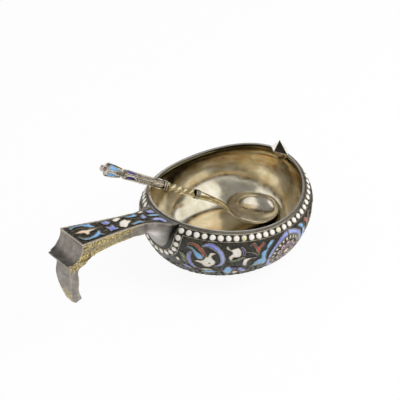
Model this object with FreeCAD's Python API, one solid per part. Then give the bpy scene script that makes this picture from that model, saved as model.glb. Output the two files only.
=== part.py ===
import FreeCAD, Part
import math
import os

from FreeCAD import Matrix, Placement, Rotation, Vector

# A small enamelled kovsh with a hook handle and a pinched prow, and the spoon that lies in it.
# Millimetres. The table is z = 0, the prow points to +X and the handle to -X.

# Bowl: its plan is an egg about the X axis, and its rim rises at both ends.
rim_half_width = 35.0
rim_front_reach = 36.7
rim_back_reach = 41.1
rim_side_height = 30.0
prow_sheer = 6.9
root_sheer = 5.1
wall = 1.3
belly_bulge_share = 1.10
belly_height_share = 0.78
base_share = 0.56

# Rim wire, beaded band and enamel skin
rim_wire_height = 0.8
rim_wire_overhang = 0.3
rim_wire_clearance = 0.03
skin_seat = 0.05
ground_thickness = 0.33
cell_thickness = 0.25
wire_width = 0.4
wire_thickness = 0.6
bead_diameter = 2.6
bead_height = 0.75
bead_pitch = 3.5
bead_clearance = 0.05
panel_foot_share = 0.24

# Prow beak: a four-sided pinch with a raised point
beak_half_width = 5.9
beak_setback = 2.2
cusp_depth = 4.4
cusp_rise = 1.5
apex_rise = 6.1
keel_reach = 6.3
keel_drop = 5.9
crease_drop = 8.5

# Handle: an arm that rises from the rim to a hollowed end, and a tail that hangs from it
arm_end_reach = 90.1
arm_end_height = 48.5
arm_slope = 0.235
arm_straight_reach = 56.0
arm_end_half_width = 8.1
arm_waist_half_width = 5.3
arm_waist_reach = 61.0
arm_depth = 4.9
ridge_overhang = 7.5
ridge_drop = 8.0
ridge_half_width = 7.3
lip_thickness = 0.7
tail_thickness = 3.5
tail_neck_half_width = 4.9
tail_belly_half_width = 5.5
tail_tip_half_width = 1.5
tail_tip_height = 14.5
root_half_width = 9.7
root_foot_height = 19.2
root_top_height = 35.0
tray_depth = 0.7
tray_border = 0.9
tray_clearance = 0.03
enamel_sink = 0.12

# Spoon
spoon_bowl_length = 27.6
spoon_bowl_width = 22.1
spoon_bowl_depth = 6.0
spoon_wall = 0.8
spoon_bend = 20.9
spoon_stem_offset = 3.2
spoon_neck_length = 16.8
neck_root_radius = 1.35
neck_waist_radius = 1.05
lower_collar_length = 2.8
twist_length = 15.7
upper_collar_length = 2.2
upper_stem_length = 21.3
finial_length = 9.3
knob_length = 2.5
collar_radius = 2.3
twist_radius = 1.85
upper_stem_radius = 1.75
upper_stem_end_radius = 2.0
finial_mouth_radius = 2.9
knob_radius = 1.5
twist_turns = 2.5

# How the spoon lies: the place on the wall that its bowl touches, the place on the rim that
# carries its stem, its roll, and the touching point as shares of its bowl
spoon_clearance = 0.3
stem_rest_gap = 1.2
touch_turn = 356.0
touch_level = 0.40
rest_turn = 135.3
spoon_roll = -10.8
touch_shares = (-0.91, -0.21, -0.357)

overrun = 5.0
half_turn = math.pi
full_turn = 2 * math.pi


def save(shape, node):
    """Write one node's solids to its own file."""
    shape.exportStep("parts/" + node + ".step")


def group(solids):
    """Several separate solids that share one node."""
    return Part.makeCompound(solids)


def to_solid(faces):
    """Sew faces that share their edges into one solid."""
    shell = Part.Compound(faces)
    shell.sewShape()
    solid = Part.Solid(Part.Shell(shell.Faces))
    if solid.Volume < 0:
        solid.reverse()
    return solid


# The bowl's outer surface, as a point for each turn about Z and each level.
# Level 0 is the edge of the flat base, 1 the widest belly and 2 the rim.

def plan_reach(turn):
    mean = (rim_front_reach + rim_back_reach) / 2
    lean = (rim_front_reach - rim_back_reach) / 2
    return math.cos(turn) * (mean + lean * math.cos(turn))


def rim_height(turn):
    mean = (prow_sheer + root_sheer) / 2
    lean = (prow_sheer - root_sheer) / 2
    return rim_side_height - rim_wire_height + math.cos(turn) ** 2 * (mean + lean * math.cos(turn))


def swell(level):
    """The plan's scale and the height's share at a level."""
    if level < 1:
        angle = level * half_turn / 2
        scale = base_share + (belly_bulge_share - base_share) * math.sin(angle)
        return scale, belly_height_share * (1 - math.cos(angle))
    rise = level - 1
    scale = belly_bulge_share - (belly_bulge_share - 1) * rise ** 2
    return scale, belly_height_share + (1 - belly_height_share) * rise


def bare_point(turn, level):
    scale, height = swell(level)
    return Vector(scale * plan_reach(turn), scale * rim_half_width * math.sin(turn), height * rim_height(turn))


def body_normal(turn, level):
    """The outward normal, from small steps along the surface."""
    step = 1 / 2000
    low = max(level - step, 0)
    along = bare_point(turn + step, level) - bare_point(turn - step, level)
    up = bare_point(turn, level + step) - bare_point(turn, low)
    return along.cross(up).normalize()


def body_point(turn, level, offset=0.0, lift=0.0):
    point = bare_point(turn, level)
    if offset:
        point = point + body_normal(turn, level) * offset
    return point + Vector(0, 0, lift)


ring_points = 40
level_steps = 7
patch_points = 14


def ring_wire(level, offset=0.0, lift=0.0):
    """A closed curve round the bowl at one level."""
    turns = [full_turn * index / ring_points for index in range(ring_points)]
    curve = Part.BSplineCurve()
    curve.interpolate(Points=[body_point(turn, level, offset, lift) for turn in turns], PeriodicFlag=True)
    return Part.Wire(curve.toShape())


def levels(low, high):
    """The levels of a wall's sections: the same for every layer, between its own two edges."""
    inner = [index / level_steps for index in range(2 * level_steps + 1)]
    room = 1 / (4 * level_steps)
    return [low] + [level for level in inner if low + room < level < high - room] + [high]


def wrap(low, high, offset):
    """The faces of a smooth wall round the bowl."""
    wires = [ring_wire(level, offset) for level in levels(low, high)]
    return Part.makeLoft(wires, False, len(wires) == 2).Faces


def ruled(wire_a, wire_b):
    return Part.makeLoft([wire_a, wire_b], False, True).Faces


def skin(low, high, inner, outer):
    """A closed layer round the bowl between two levels and two offsets."""
    faces = wrap(low, high, inner) + wrap(low, high, outer)
    faces += ruled(ring_wire(low, inner), ring_wire(low, outer))
    faces += ruled(ring_wire(high, inner), ring_wire(high, outer))
    return to_solid(faces)


def body_block():
    """All that lies inside the bowl's outer surface, carried up past the rim."""
    top = rim_side_height + prow_sheer + root_sheer + overrun
    foot = ring_wire(0)
    rim = ring_wire(2)
    lid_points = [bare_point(full_turn * i / ring_points, 2) for i in range(ring_points)]
    curve = Part.BSplineCurve()
    curve.interpolate(Points=[Vector(p.x, p.y, top) for p in lid_points], PeriodicFlag=True)
    lid = Part.Wire(curve.toShape())
    faces = wrap(0, 2, 0) + ruled(rim, lid)
    faces += [Part.Face(foot), Part.Face(lid)]
    return to_solid(faces)


def bowl_shell():
    inner_floor = ring_wire(0, -wall)
    faces = wrap(0, 2, 0) + wrap(0, 2, -wall)
    faces += ruled(ring_wire(2, 0), ring_wire(2, -wall))
    faces += [Part.Face(ring_wire(0, 0)), Part.Face(inner_floor)]
    return to_solid(faces)


def rim_wire(grow, rise):
    """A square wire on the bowl's edge, lapping over it outside, grown all round and above."""
    outer = rim_wire_overhang + grow
    top = rim_wire_height + rise
    wires = []
    for offset, lift in ((-wall, -grow), (outer, -grow), (outer, top), (-wall, top)):
        turns = [full_turn * index / ring_points for index in range(ring_points)]
        points = []
        for turn in turns:
            edge = bare_point(turn, 2)
            out = body_normal(turn, 2)
            flat = Vector(out.x, out.y, 0).normalize()
            points.append(edge + flat * offset + Vector(0, 0, lift + skin_seat))
        curve = Part.BSplineCurve()
        curve.interpolate(Points=points, PeriodicFlag=True)
        wires.append(Part.Wire(curve.toShape()))
    faces = []
    for index in range(len(wires)):
        faces += ruled(wires[index], wires[(index + 1) % len(wires)])
    return to_solid(faces)


def beak_points():
    """The beak's six corners, from the rim at the prow."""
    corner_turn = math.asin(beak_half_width / rim_half_width)
    corner_x = bare_point(corner_turn, 2).x - beak_setback / 2
    edge_z = rim_height(corner_turn) + rim_wire_height
    corner = Vector(corner_x, beak_half_width, edge_z)
    other = Vector(corner_x, -beak_half_width, edge_z)
    cusp = Vector(corner_x - cusp_depth, 0, edge_z + cusp_rise)
    apex = Vector(corner_x - beak_setback / 8, 0, edge_z + apex_rise)
    keel = Vector(rim_front_reach + keel_reach, 0, edge_z - keel_drop)
    crease = Vector(rim_front_reach + wall / 2, 0, edge_z - crease_drop)
    return apex, crease, [cusp, corner, keel, other]


def prow_beak():
    apex, crease, ring = beak_points()
    faces = []
    for index in range(len(ring)):
        a = ring[index]
        b = ring[(index + 1) % len(ring)]
        for tip in (apex, crease):
            faces.append(Part.Face(Part.makePolygon([a, b, tip, a])))
    return to_solid(faces)


# The U round the handle's root, in the YZ plane: straight sides above, half a superellipse below.

root_outline_power = 2.2


def root_outline(grow):
    """Points from one top corner round the foot to the other."""
    width = root_half_width + grow
    centre = rim_side_height
    depth = centre - root_foot_height + grow
    top = Vector(0, width, rim_side_height + prow_sheer + overrun)
    points = []
    count = 16
    for index in range(count + 1):
        angle = half_turn * index / count
        y = math.copysign(abs(math.cos(angle)) ** (2 / root_outline_power), math.cos(angle))
        z = math.sin(angle) ** (2 / root_outline_power)
        points.append(Vector(0, width * y, centre - depth * z))
    return top, points


def root_prism(grow):
    """The U carried along X through the handle's side of the bowl."""
    top, points = root_outline(grow)
    curve = Part.BSplineCurve()
    curve.interpolate(Points=points)
    other_top = Vector(0, -top.y, top.z)
    edges = [Part.makeLine(top, points[0]), curve.toShape(), Part.makeLine(points[-1], other_top)]
    edges.append(Part.makeLine(other_top, top))
    face = Part.Face(Part.Wire(edges))
    reach = rim_back_reach * belly_bulge_share + overrun
    face.translate(Vector(-reach, 0, 0))
    return face.extrude(Vector(reach / 2, 0, 0))


def bead(point, normal):
    """A low dome of white enamel on a flat foot."""
    radius = bead_diameter / 2
    ball = (radius ** 2 + bead_height ** 2) / (2 * bead_height)
    cut = math.degrees(math.asin((ball - bead_height) / ball))
    return Part.makeSphere(ball, point - normal * (ball - bead_height), normal, cut, 90, 360)


def spaced_turns(start, stop, level, pitch):
    """Turns along one level, evenly spaced at about one pitch."""
    steps = 400
    turns = [start + (stop - start) * index / steps for index in range(steps + 1)]
    lengths = [0.0]
    for a, b in zip(turns, turns[1:]):
        lengths.append(lengths[-1] + bare_point(a, level).distanceToPoint(bare_point(b, level)))
    count = max(1, round(lengths[-1] / pitch))
    result = []
    for index in range(count + 1):
        want = lengths[-1] * index / count
        place = min(range(len(lengths)), key=lambda i: abs(lengths[i] - want))
        result.append(turns[place])
    return result


def bead_base():
    return skin_seat + ground_thickness + skin_seat


def level_span(level, length):
    """How much of a level a length along the bowl's side takes up."""
    step = 1 / 100
    turn = half_turn / 2
    rise = (bare_point(turn, level + step) - bare_point(turn, level - step)).Length
    return length * 2 * step / rise


def band_levels():
    """The levels of the band's upper wire, its beads and its lower wire, down from the rim."""
    step = bead_diameter / 2 + wire_width / 2 + bead_clearance
    top = 2 - level_span(2, rim_wire_overhang + wire_width / 2)
    row = top - level_span(top, step)
    foot = row - level_span(row, step)
    return top, row, foot


def root_bead_grow():
    """How far the middle of the root's beads lies outside its edge."""
    return wire_width + bead_clearance + bead_diameter / 2


def rim_beads():
    """The row under the rim, on both sides, from the handle's root to the beak."""
    level = band_levels()[1]
    reach = swell(level)[0] * rim_half_width
    root_turn = half_turn - math.asin((root_half_width + root_bead_grow()) / reach)
    prow_turn = math.asin((beak_half_width + bead_diameter / 2) / reach)
    beads = []
    for side in (1, -1):
        for turn in spaced_turns(side * prow_turn, side * root_turn, level, bead_pitch):
            beads.append(bead(body_point(turn, level, bead_base()), body_normal(turn, level)))
    return beads


def surface_at(y, z, offset):
    """The point on the handle's side of the bowl at a given y and z."""
    turn = half_turn
    level = 1.0
    for _ in range(30):
        scale, _height = swell(level)
        turn = half_turn - math.asin(max(-1, min(1, y / (scale * rim_half_width))))
        want = z / rim_height(turn)
        if want < belly_height_share:
            level = math.acos(1 - want / belly_height_share) / (half_turn / 2)
        else:
            level = 1 + min(1, (want - belly_height_share) / (1 - belly_height_share))
    return body_point(turn, level, offset), body_normal(turn, level)


def root_beads():
    """The row that follows the U round the handle's root, between the two rows under the rim."""
    line = root_line(root_bead_grow(), band_levels()[1])
    curve = Part.BSplineCurve()
    curve.interpolate(Points=[surface_at(place.y, place.z, 0)[0] for place in line])
    edge = curve.toShape()
    count = max(2, round(edge.Length / bead_pitch))
    beads = []
    for place in edge.discretize(Number=count + 1)[1:-1]:
        point, normal = surface_at(place.y, place.z, bead_base())
        beads.append(bead(point, normal))
    return beads


def wire_ring(level):
    """A fine wire round the bowl."""
    half = level_span(level, wire_width) / 2
    return skin(level - half, level + half, skin_seat, skin_seat + wire_thickness)


def strip(rails):
    """A solid between four rails, each a list of points."""
    curves = []
    for rail in rails:
        curve = Part.BSplineCurve()
        curve.interpolate(Points=rail)
        curves.append(curve.toShape())
    faces = []
    for index in range(len(rails)):
        faces.append(Part.makeRuledSurface(curves[index], curves[(index + 1) % len(rails)]))
    for end in (0, -1):
        a, b, c, d = [rail[end] for rail in rails]
        faces.append(Part.makeRuledSurface(Part.makeLine(a, b), Part.makeLine(d, c)))
    return to_solid(faces)


def root_line(grow, top_level):
    """The U at a distance from the root's edge, with its sides carried up to a level."""
    _top, points = root_outline(grow)
    width = points[0].y
    scale, height_share = swell(top_level)
    turn = half_turn - math.asin(width / (scale * rim_half_width))
    height = height_share * rim_height(turn)
    upper = [Vector(0, width, height), Vector(0, width, (height + points[0].z) / 2)]
    lower = [Vector(0, -point.y, point.z) for point in reversed(upper)]
    return upper + points + lower


def root_wire_grows():
    """How far the inner edges of the root's two wires lie outside its own edge."""
    half = bead_diameter / 2 + bead_clearance
    return root_bead_grow() - half - wire_width, root_bead_grow() + half


def root_wires():
    """Two wires that follow the U, one each side of its beads."""
    wires = []
    inner, outer = root_wire_grows()
    top, _row, foot = band_levels()
    for grow, top_level in ((inner, top), (outer, foot)):
        rails = []
        for side, offset in ((0, 0), (wire_width, 0), (wire_width, cell_thickness), (0, cell_thickness)):
            line = root_line(grow + side, top_level)
            rails.append([surface_at(place.y, place.z, bead_base() + offset)[0] for place in line])
        wires.append(strip(rails))
    return wires


# Motifs: closed outlines in a flat frame on the bowl, x along the rim towards the prow, y up.
# Each is given as shares of its frame's size. A scroll is given by the line along its middle.

red_leaf_shares = [(-1.08, 0.89), (-0.86, 1.0), (-0.59, 0.97), (-0.34, 0.84), (-0.12, 0.6), (-0.03, 0.3),
                   (-0.16, 0.23), (-0.32, 0.54), (-0.55, 0.8), (-0.8, 0.89)]
blue_leaf_shares = [(-1.2, 0.63), (-0.99, 0.81), (-0.77, 0.76), (-0.6, 0.6), (-0.4, 0.43), (-0.25, 0.28),
                    (-0.25, 0.07), (-0.41, -0.01), (-0.57, 0.12), (-0.68, 0.38), (-0.8, 0.6), (-0.99, 0.7)]
palmette_shares = [(-0.67, -0.18), (-0.51, -0.08), (-0.32, -0.09), (-0.16, 0.03), (-0.07, 0.24), (0.02, 0.2),
                   (0.12, 0.39), (0.21, 0.52), (0.47, 0.44), (0.26, 0.32), (0.25, 0.15), (0.42, -0.13),
                   (0.37, -0.35), (0.22, -0.49), (0.03, -0.62), (-0.18, -0.53), (-0.33, -0.34), (-0.52, -0.25)]
slim_leaf_shares = [(-1.47, 0.26), (-1.29, 0.27), (-1.15, 0.03), (-1.09, -0.26), (-1.21, -0.1), (-1.35, 0.08)]
low_leaf_shares = [(-1.42, 0.06), (-1.36, -0.16), (-1.24, -0.4), (-1.1, -0.62), (-1.16, -0.32), (-1.27, -0.06)]
drop_shares = [(-1.71, -0.26), (-1.57, -0.21), (-1.51, -0.45), (-1.66, -0.51)]
right_scroll_shares = [(-0.23, 0.88), (0.06, 0.93), (0.33, 0.84), (0.58, 0.66), (0.76, 0.38), (0.83, 0.03),
                       (0.78, -0.24), (0.66, -0.44), (0.41, -0.54)]
left_scroll_shares = [(-0.77, 0.36), (-0.94, 0.1), (-0.97, -0.2), (-0.95, -0.57), (-0.84, -0.95)]
tulip_shares = [(-0.97, 0.99), (-0.92, 0.87), (-0.81, 0.78), (-0.55, 0.83), (-0.37, 0.79), (-0.26, 0.58),
                (-0.3, 0.3), (-0.48, 0.25), (-0.7, 0.28), (-0.78, 0.09), (-0.92, 0.22), (-0.89, 0.39),
                (-0.73, 0.53), (-0.81, 0.71), (-0.99, 0.82), (-1.06, 0.9)]
cup_shares = [(-0.28, 0.84), (-0.14, 0.78), (-0.05, 0.64), (-0.03, 0.45), (-0.1, 0.3), (-0.2, 0.28), (-0.17, 0.44),
              (-0.18, 0.64)]
under_leaf_shares = [(-0.89, -0.02), (-0.65, -0.09), (-0.41, -0.02), (-0.03, 0.14), (-0.29, 0.16), (-0.51, 0.09),
                     (-0.72, 0.02)]
flower_blue_shares = [(-1.11, -0.98), (-1.04, -0.52), (-0.87, -0.45), (-0.71, -0.68), (-0.68, -1.03), (-0.8, -1.32)]
flower_dark_shares = [(-0.76, -0.63), (-0.57, -0.55), (-0.4, -0.66), (-0.5, -0.85), (-0.65, -0.85)]
flower_peach_shares = [(-0.66, -1.04), (-0.52, -0.97), (-0.34, -1.02), (-0.34, -1.24), (-0.55, -1.26)]
flower_pale_shares = [(-0.36, -0.75), (-0.21, -0.64), (0.03, -0.92), (0.14, -1.16), (-0.12, -1.16)]
red_palmette_shares = [(0.45, 0.89), (0.21, 0.81), (0.4, 0.79), (0.55, 0.6), (0.65, 0.32), (0.79, 0.13),
                       (0.79, 0.4), (0.92, 0.59), (1.11, 0.66), (1.02, 0.78), (0.85, 0.73), (0.68, 0.63),
                       (0.58, 0.79)]
acanthus_shares = [(1.69, 0.68), (1.45, 0.7), (1.25, 0.58), (1.19, 0.33), (1.0, 0.27), (0.91, 0.09), (0.94, -0.22),
                   (0.69, -0.27), (0.35, -0.71), (0.61, -0.77), (0.87, -0.77), (1.15, -0.88), (1.27, -0.69),
                   (1.2, -0.25), (1.24, 0.13), (1.37, 0.41), (1.56, 0.56)]
curl_leaf_shares = [(-0.12, -0.42), (-0.12, -0.07), (0.02, 0.06), (0.63, -0.04), (0.38, -0.05), (0.17, -0.11),
                    (0.09, -0.32), (0.05, -0.54)]
petal_shares = [(-0.5, 0), (0, 0.3), (0.5, 0.12), (0.5, -0.12), (0, -0.3)]
tear_shares = [(-0.45, 0), (0.1, 0.32), (0.45, 0.3), (0.45, -0.3), (0.1, -0.32)]


def outline_face(shares, length, width, flip=1):
    """A flat face from an outline's shares, scaled, and mirrored where flip is -1."""
    curve = Part.BSplineCurve()
    curve.interpolate(Points=[Vector(x, y, 0) for x, y in shares], PeriodicFlag=True)
    for index, pole in enumerate(curve.getPoles()):
        curve.setPole(index + 1, Vector(pole.x * length * flip, pole.y * width, 0))
    return Part.Face(Part.Wire(curve.toShape()))


def scroll_outline(shares, width_share, blunt_share):
    """The outline's shares of a scroll that swells from blunt ends, from its middle line."""
    line = Part.BSplineCurve()
    line.interpolate(Points=[Vector(x, y, 0) for x, y in shares])
    count = 2 * len(shares)
    near = []
    far = []
    for index in range(count + 1):
        share = index / count
        at = line.FirstParameter + (line.LastParameter - line.FirstParameter) * share
        place = line.value(at)
        along = line.tangent(at)[0]
        half = width_share / 2 * (blunt_share + (1 - blunt_share) * math.sin(half_turn * share) ** (1 / 2))
        near.append((place.x - along.y * half, place.y + along.x * half))
        far.append((place.x + along.y * half, place.y - along.x * half))
    return near + far[::-1]


def ring_face(radius, width, start, stop):
    """A flat part of a ring, from one angle to another."""
    outer = radius
    inner = radius - width
    middle = (start + stop) / 2

    def at(reach, angle):
        return Vector(reach * math.cos(math.radians(angle)), reach * math.sin(math.radians(angle)), 0)

    edges = [Part.Arc(at(outer, start), at(outer, middle), at(outer, stop)).toShape()]
    edges.append(Part.makeLine(at(outer, stop), at(inner, stop)))
    edges.append(Part.Arc(at(inner, stop), at(inner, middle), at(inner, start)).toShape())
    edges.append(Part.makeLine(at(inner, start), at(outer, start)))
    return Part.Face(Part.Wire(edges))


def disc_face(radius, x=0.0, y=0.0):
    return Part.Face(Part.Wire(Part.makeCircle(radius, Vector(x, y, 0))))


def petal_faces(count, reach, size):
    faces = []
    for index in range(count):
        angle = full_turn * index / count
        x = reach * math.cos(angle)
        y = reach * math.sin(angle)
        petal = outline_face(petal_shares, size, size)
        petal.rotate(Vector(0, 0, 0), Vector(0, 0, 1), math.degrees(angle))
        petal.translate(Vector(x, y, 0))
        faces.append(petal)
    return faces


# The panel's near side, from the handle to the roundel. What lies past the roundel mirrors it, and
# the far side mirrors the near one. A frame is a turn about Z in degrees and a level.

leaf_size = 8.3
leaf_frame = (216.7, 0.87)
tulip_frame = (240.0, 0.87)
frame_reach_share = 1.85
right_scroll_width = 2.1
left_scroll_width = 1.6
scroll_blunt_share = 0.25

roundel_frame = (270.0, 0.775)
roundel_radius = 10.9
roundel_border = 1.9
roundel_wire_width = 0.3
roundel_wire_gap = 0.12
roundel_dot_ring = 7.8
roundel_dot_radius = 0.62
roundel_dot_count = 22
petal_ring = 4.4
petal_size = 3.8
petal_count = 10
eye_radius = 1.5
ring_gap = 1.5

# Each row: its node, and its outline
leaf_motifs = [
    ("panel_red_leaves", red_leaf_shares),
    ("panel_blue_leaves", blue_leaf_shares),
    ("panel_white_petals", palmette_shares),
    ("panel_green_leaves", slim_leaf_shares),
    ("panel_green_leaves", low_leaf_shares),
    ("panel_white_petals", drop_shares),
    ("panel_lavender_scrolls", scroll_outline(right_scroll_shares, right_scroll_width / leaf_size, scroll_blunt_share)),
    ("panel_lavender_scrolls", scroll_outline(left_scroll_shares, left_scroll_width / leaf_size, scroll_blunt_share)),
]
tulip_motifs = [
    ("panel_white_petals", tulip_shares),
    ("panel_dark_blue_cups", cup_shares),
    ("panel_green_leaves", under_leaf_shares),
    ("panel_blue_leaves", flower_blue_shares),
    ("panel_dark_blue_cups", flower_dark_shares),
    ("panel_peach_petals", flower_peach_shares),
    ("panel_lavender_scrolls", flower_pale_shares),
    ("panel_red_leaves", red_palmette_shares),
    ("panel_blue_leaves", acanthus_shares),
    ("panel_white_petals", curl_leaf_shares),
]


def cell_patch(turn, level, reach):
    """A curved slab on the bowl that reaches a length past a point on every side."""
    level_half = level_span(1, reach)
    turn_half = reach / rim_half_width
    low = max(level - level_half, panel_foot_share + level_span(panel_foot_share, wire_width))
    foot = band_levels()[2]
    high = min(level + level_half, foot - level_span(foot, wire_width))
    grid = []
    for row in range(patch_points):
        here = low + (high - low) * row / (patch_points - 1)
        line = []
        for column in range(patch_points):
            angle = turn + turn_half * (2 * column / (patch_points - 1) - 1)
            line.append(body_point(angle, here, bead_base()))
        grid.append(line)
    surface = Part.BSplineSurface()
    surface.interpolate(grid)
    return surface.toShape().extrude(body_normal(turn, level) * cell_thickness)


def panel_frame(turn, level):
    """A flat frame on the bowl: x along the rim, y up and z outward."""
    normal = body_normal(turn, level)
    along = Vector(-math.sin(turn), math.cos(turn), 0)
    along = (along - normal * along.dot(normal)).normalize()
    up = normal.cross(along)
    origin = body_point(turn, level)
    return Placement(Matrix(along.x, up.x, normal.x, origin.x,
                            along.y, up.y, normal.y, origin.y,
                            along.z, up.z, normal.z, origin.z,
                            0, 0, 0, 1))


def near_cells(turn_degrees, level, reach, rows):
    """Stand flat outlines on the bowl and keep their parts of the curved cell layer."""
    turn = math.radians(turn_degrees)
    patch = cell_patch(turn, level, reach)
    place = panel_frame(turn, level)
    cells = []
    for node, face in rows:
        face.translate(Vector(0, 0, -reach / 2))
        prism = face.extrude(Vector(0, 0, reach))
        prism.Placement = place.multiply(prism.Placement)
        cells += [(node, solid) for solid in prism.common(patch).Solids]
    return cells


def roundel_rows():
    """The flat outlines of the roundel, by node."""
    rows = []
    quarter = 360 / 4
    for index in range(4):
        start = quarter * index
        ring = ring_face(roundel_radius, roundel_border, start + ring_gap, start + quarter - ring_gap)
        rows.append(("roundel_borders", ring))
    for index in range(roundel_dot_count):
        angle = full_turn * index / roundel_dot_count
        x = roundel_dot_ring * math.cos(angle)
        y = roundel_dot_ring * math.sin(angle)
        rows.append(("roundel_dots", disc_face(roundel_dot_radius, x, y)))
    for petal in petal_faces(petal_count, petal_ring, petal_size):
        rows.append(("roundel_petals", petal))
    rows.append(("roundel_eyes", disc_face(eye_radius)))
    outer = roundel_dot_ring + roundel_dot_radius + roundel_wire_gap + roundel_wire_width
    inner = roundel_dot_ring - roundel_dot_radius - roundel_wire_gap
    for radius in (outer, inner):
        for index in range(4):
            start = quarter * index
            ring = ring_face(radius, roundel_wire_width, start + ring_gap, start + quarter - ring_gap)
            rows.append(("roundel_wires", ring))
    return rows


def panel_cells(keep_out):
    """Every enamel cell of the panel, as lists of solids by node."""
    near = near_cells(*roundel_frame, roundel_radius * frame_reach_share, roundel_rows())
    laid = [keep_out] + [solid for node, solid in near if node == "roundel_borders"]
    reach = leaf_size * frame_reach_share
    for (turn, level), motifs in ((leaf_frame, leaf_motifs), (tulip_frame, tulip_motifs)):
        for flip, place in ((1, turn), (-1, 540 - turn)):
            rows = [(node, outline_face(shares, leaf_size, leaf_size, flip)) for node, shares in motifs]
            for node, solid in near_cells(place, level, reach, rows):
                for other in laid:
                    if other.BoundBox.intersect(solid.BoundBox):
                        solid = solid.cut(other)
                laid += solid.Solids
                near += [(node, part) for part in solid.Solids]
    cells = {}
    for node, solid in near:
        cells.setdefault(node, []).extend([solid, solid.mirror(Vector(0, 0, 0), Vector(0, 1, 0))])
    return cells


# Handle. Its side outline lies in the XZ plane.

def arm_top(reach):
    """Height of the arm's straight top at a distance from the origin."""
    return arm_end_height - arm_slope * (arm_end_reach - reach)


def side_point(reach, height):
    return Vector(-reach, 0, height)


def top_edges(lift):
    """The handle's top line, from its end to the rim, moved up or down."""
    end = side_point(arm_end_reach, arm_end_height + lift)
    bend = side_point(arm_straight_reach, arm_top(arm_straight_reach) + lift)
    root = side_point(rim_back_reach, root_top_height + lift)
    middle_reach = (arm_straight_reach + rim_back_reach) / 2
    middle_height = (bend.z + root.z) / 2 + arm_slope
    middle = side_point(middle_reach, middle_height)
    return end, bend, middle, root


def top_strip(low, high, start, stop):
    """A slab that follows the handle's top between two lifts, cut off at two reaches."""
    end, bend, middle, root = top_edges(low)
    end_up, bend_up, middle_up, root_up = top_edges(high)
    beyond = Vector(-overrun * 2, 0, -arm_slope * -overrun * 2)
    inward = Vector(overrun * 2, 0, 0)
    edges = [Part.makeLine(end + beyond, bend), Part.Arc(bend, middle, root).toShape()]
    edges.append(Part.makeLine(root, root + inward))
    edges.append(Part.makeLine(root + inward, root_up + inward))
    edges.append(Part.makeLine(root_up + inward, root_up))
    edges.append(Part.Arc(root_up, middle_up, bend_up).toShape())
    edges.append(Part.makeLine(bend_up, end_up + beyond))
    edges.append(Part.makeLine(end_up + beyond, end + beyond))
    face = Part.Face(Part.Wire(edges))
    width = 2 * (root_half_width + overrun)
    face.translate(Vector(0, -width / 2, 0))
    slab = face.extrude(Vector(0, width, 0))
    window = Part.makeBox(start - stop, width, 2 * arm_end_height, Vector(-start, -width / 2, 0))
    return slab.common(window)


def arm_plan(inset, start, stop):
    """The arm's outline from above, narrowed by an inset, between two reaches."""
    count = 9
    half = []
    for index in range(count):
        reach = start + (stop - start) * index / (count - 1)
        half.append(Vector(-reach, arm_half_width(reach) - inset, 0))
    near = Part.BSplineCurve()
    near.interpolate(Points=half)
    far = Part.BSplineCurve()
    far.interpolate(Points=[Vector(p.x, -p.y, 0) for p in half])
    edges = [near.toShape(), Part.makeLine(half[-1], Vector(half[-1].x, -half[-1].y, 0))]
    edges += [far.toShape(), Part.makeLine(Vector(half[0].x, -half[0].y, 0), half[0])]
    face = Part.Face(Part.Wire(Part.__sortEdges__(edges)))
    return face.extrude(Vector(0, 0, 2 * arm_end_height))


def arm_half_width(reach):
    """Half the arm's width: a waist, a wide end, and a flare along the rim."""
    if reach > arm_end_reach:
        share = (reach - arm_end_reach) / ridge_overhang
        return arm_end_half_width + (ridge_half_width - arm_end_half_width) * share
    if reach > arm_waist_reach:
        share = (reach - arm_waist_reach) / (arm_end_reach - arm_waist_reach)
        return arm_waist_half_width + (arm_end_half_width - arm_waist_half_width) * share ** 1.2
    share = (arm_waist_reach - reach) / (arm_waist_reach - rim_back_reach)
    return arm_waist_half_width + (root_half_width - arm_waist_half_width) * share ** 2.6


def tail_outline():
    """Half the tail's width at heights from under the ridge to its tip."""
    ridge_height = arm_end_height - ridge_drop
    drop = ridge_height - tail_tip_height
    return [
        (ridge_height, ridge_half_width),
        (ridge_height - drop * 0.05, tail_neck_half_width * 1.2),
        (ridge_height - drop * 0.14, tail_neck_half_width),
        (ridge_height - drop * 0.36, tail_belly_half_width),
        (ridge_height - drop * 0.60, tail_neck_half_width * 0.94),
        (ridge_height - drop * 0.80, tail_neck_half_width * 0.62),
        (tail_tip_height + drop * 0.02, tail_tip_half_width),
    ]


def tail_side_cutter():
    """What is left outside the tail, seen from the end."""
    outline = tail_outline()
    side = Part.BSplineCurve()
    side.interpolate(Points=[Vector(0, width, height) for height, width in outline])
    other = Part.BSplineCurve()
    other.interpolate(Points=[Vector(0, -width, height) for height, width in outline])
    top = Part.makeLine(Vector(0, outline[0][1], outline[0][0]), Vector(0, -outline[0][1], outline[0][0]))
    foot_a = Vector(0, outline[-1][1], outline[-1][0])
    foot_b = Vector(0, -outline[-1][1], outline[-1][0])
    tip = Vector(0, 0, tail_tip_height - lip_thickness)
    foot = Part.Arc(foot_a, tip, foot_b).toShape()
    tail = Part.Face(Part.Wire(Part.__sortEdges__([side.toShape(), foot, other.toShape(), top])))
    reach = arm_end_reach + ridge_overhang + overrun
    length = ridge_overhang + overrun * 2
    tail.translate(Vector(-reach, 0, 0))
    keep = tail.extrude(Vector(length, 0, 0))
    width = 2 * (arm_end_half_width + overrun)
    height = outline[0][0] - tail_tip_height + overrun
    block = Part.makeBox(length, width, height, Vector(-reach, -width / 2, outline[0][0] - height))
    return block.cut(keep)


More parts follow.
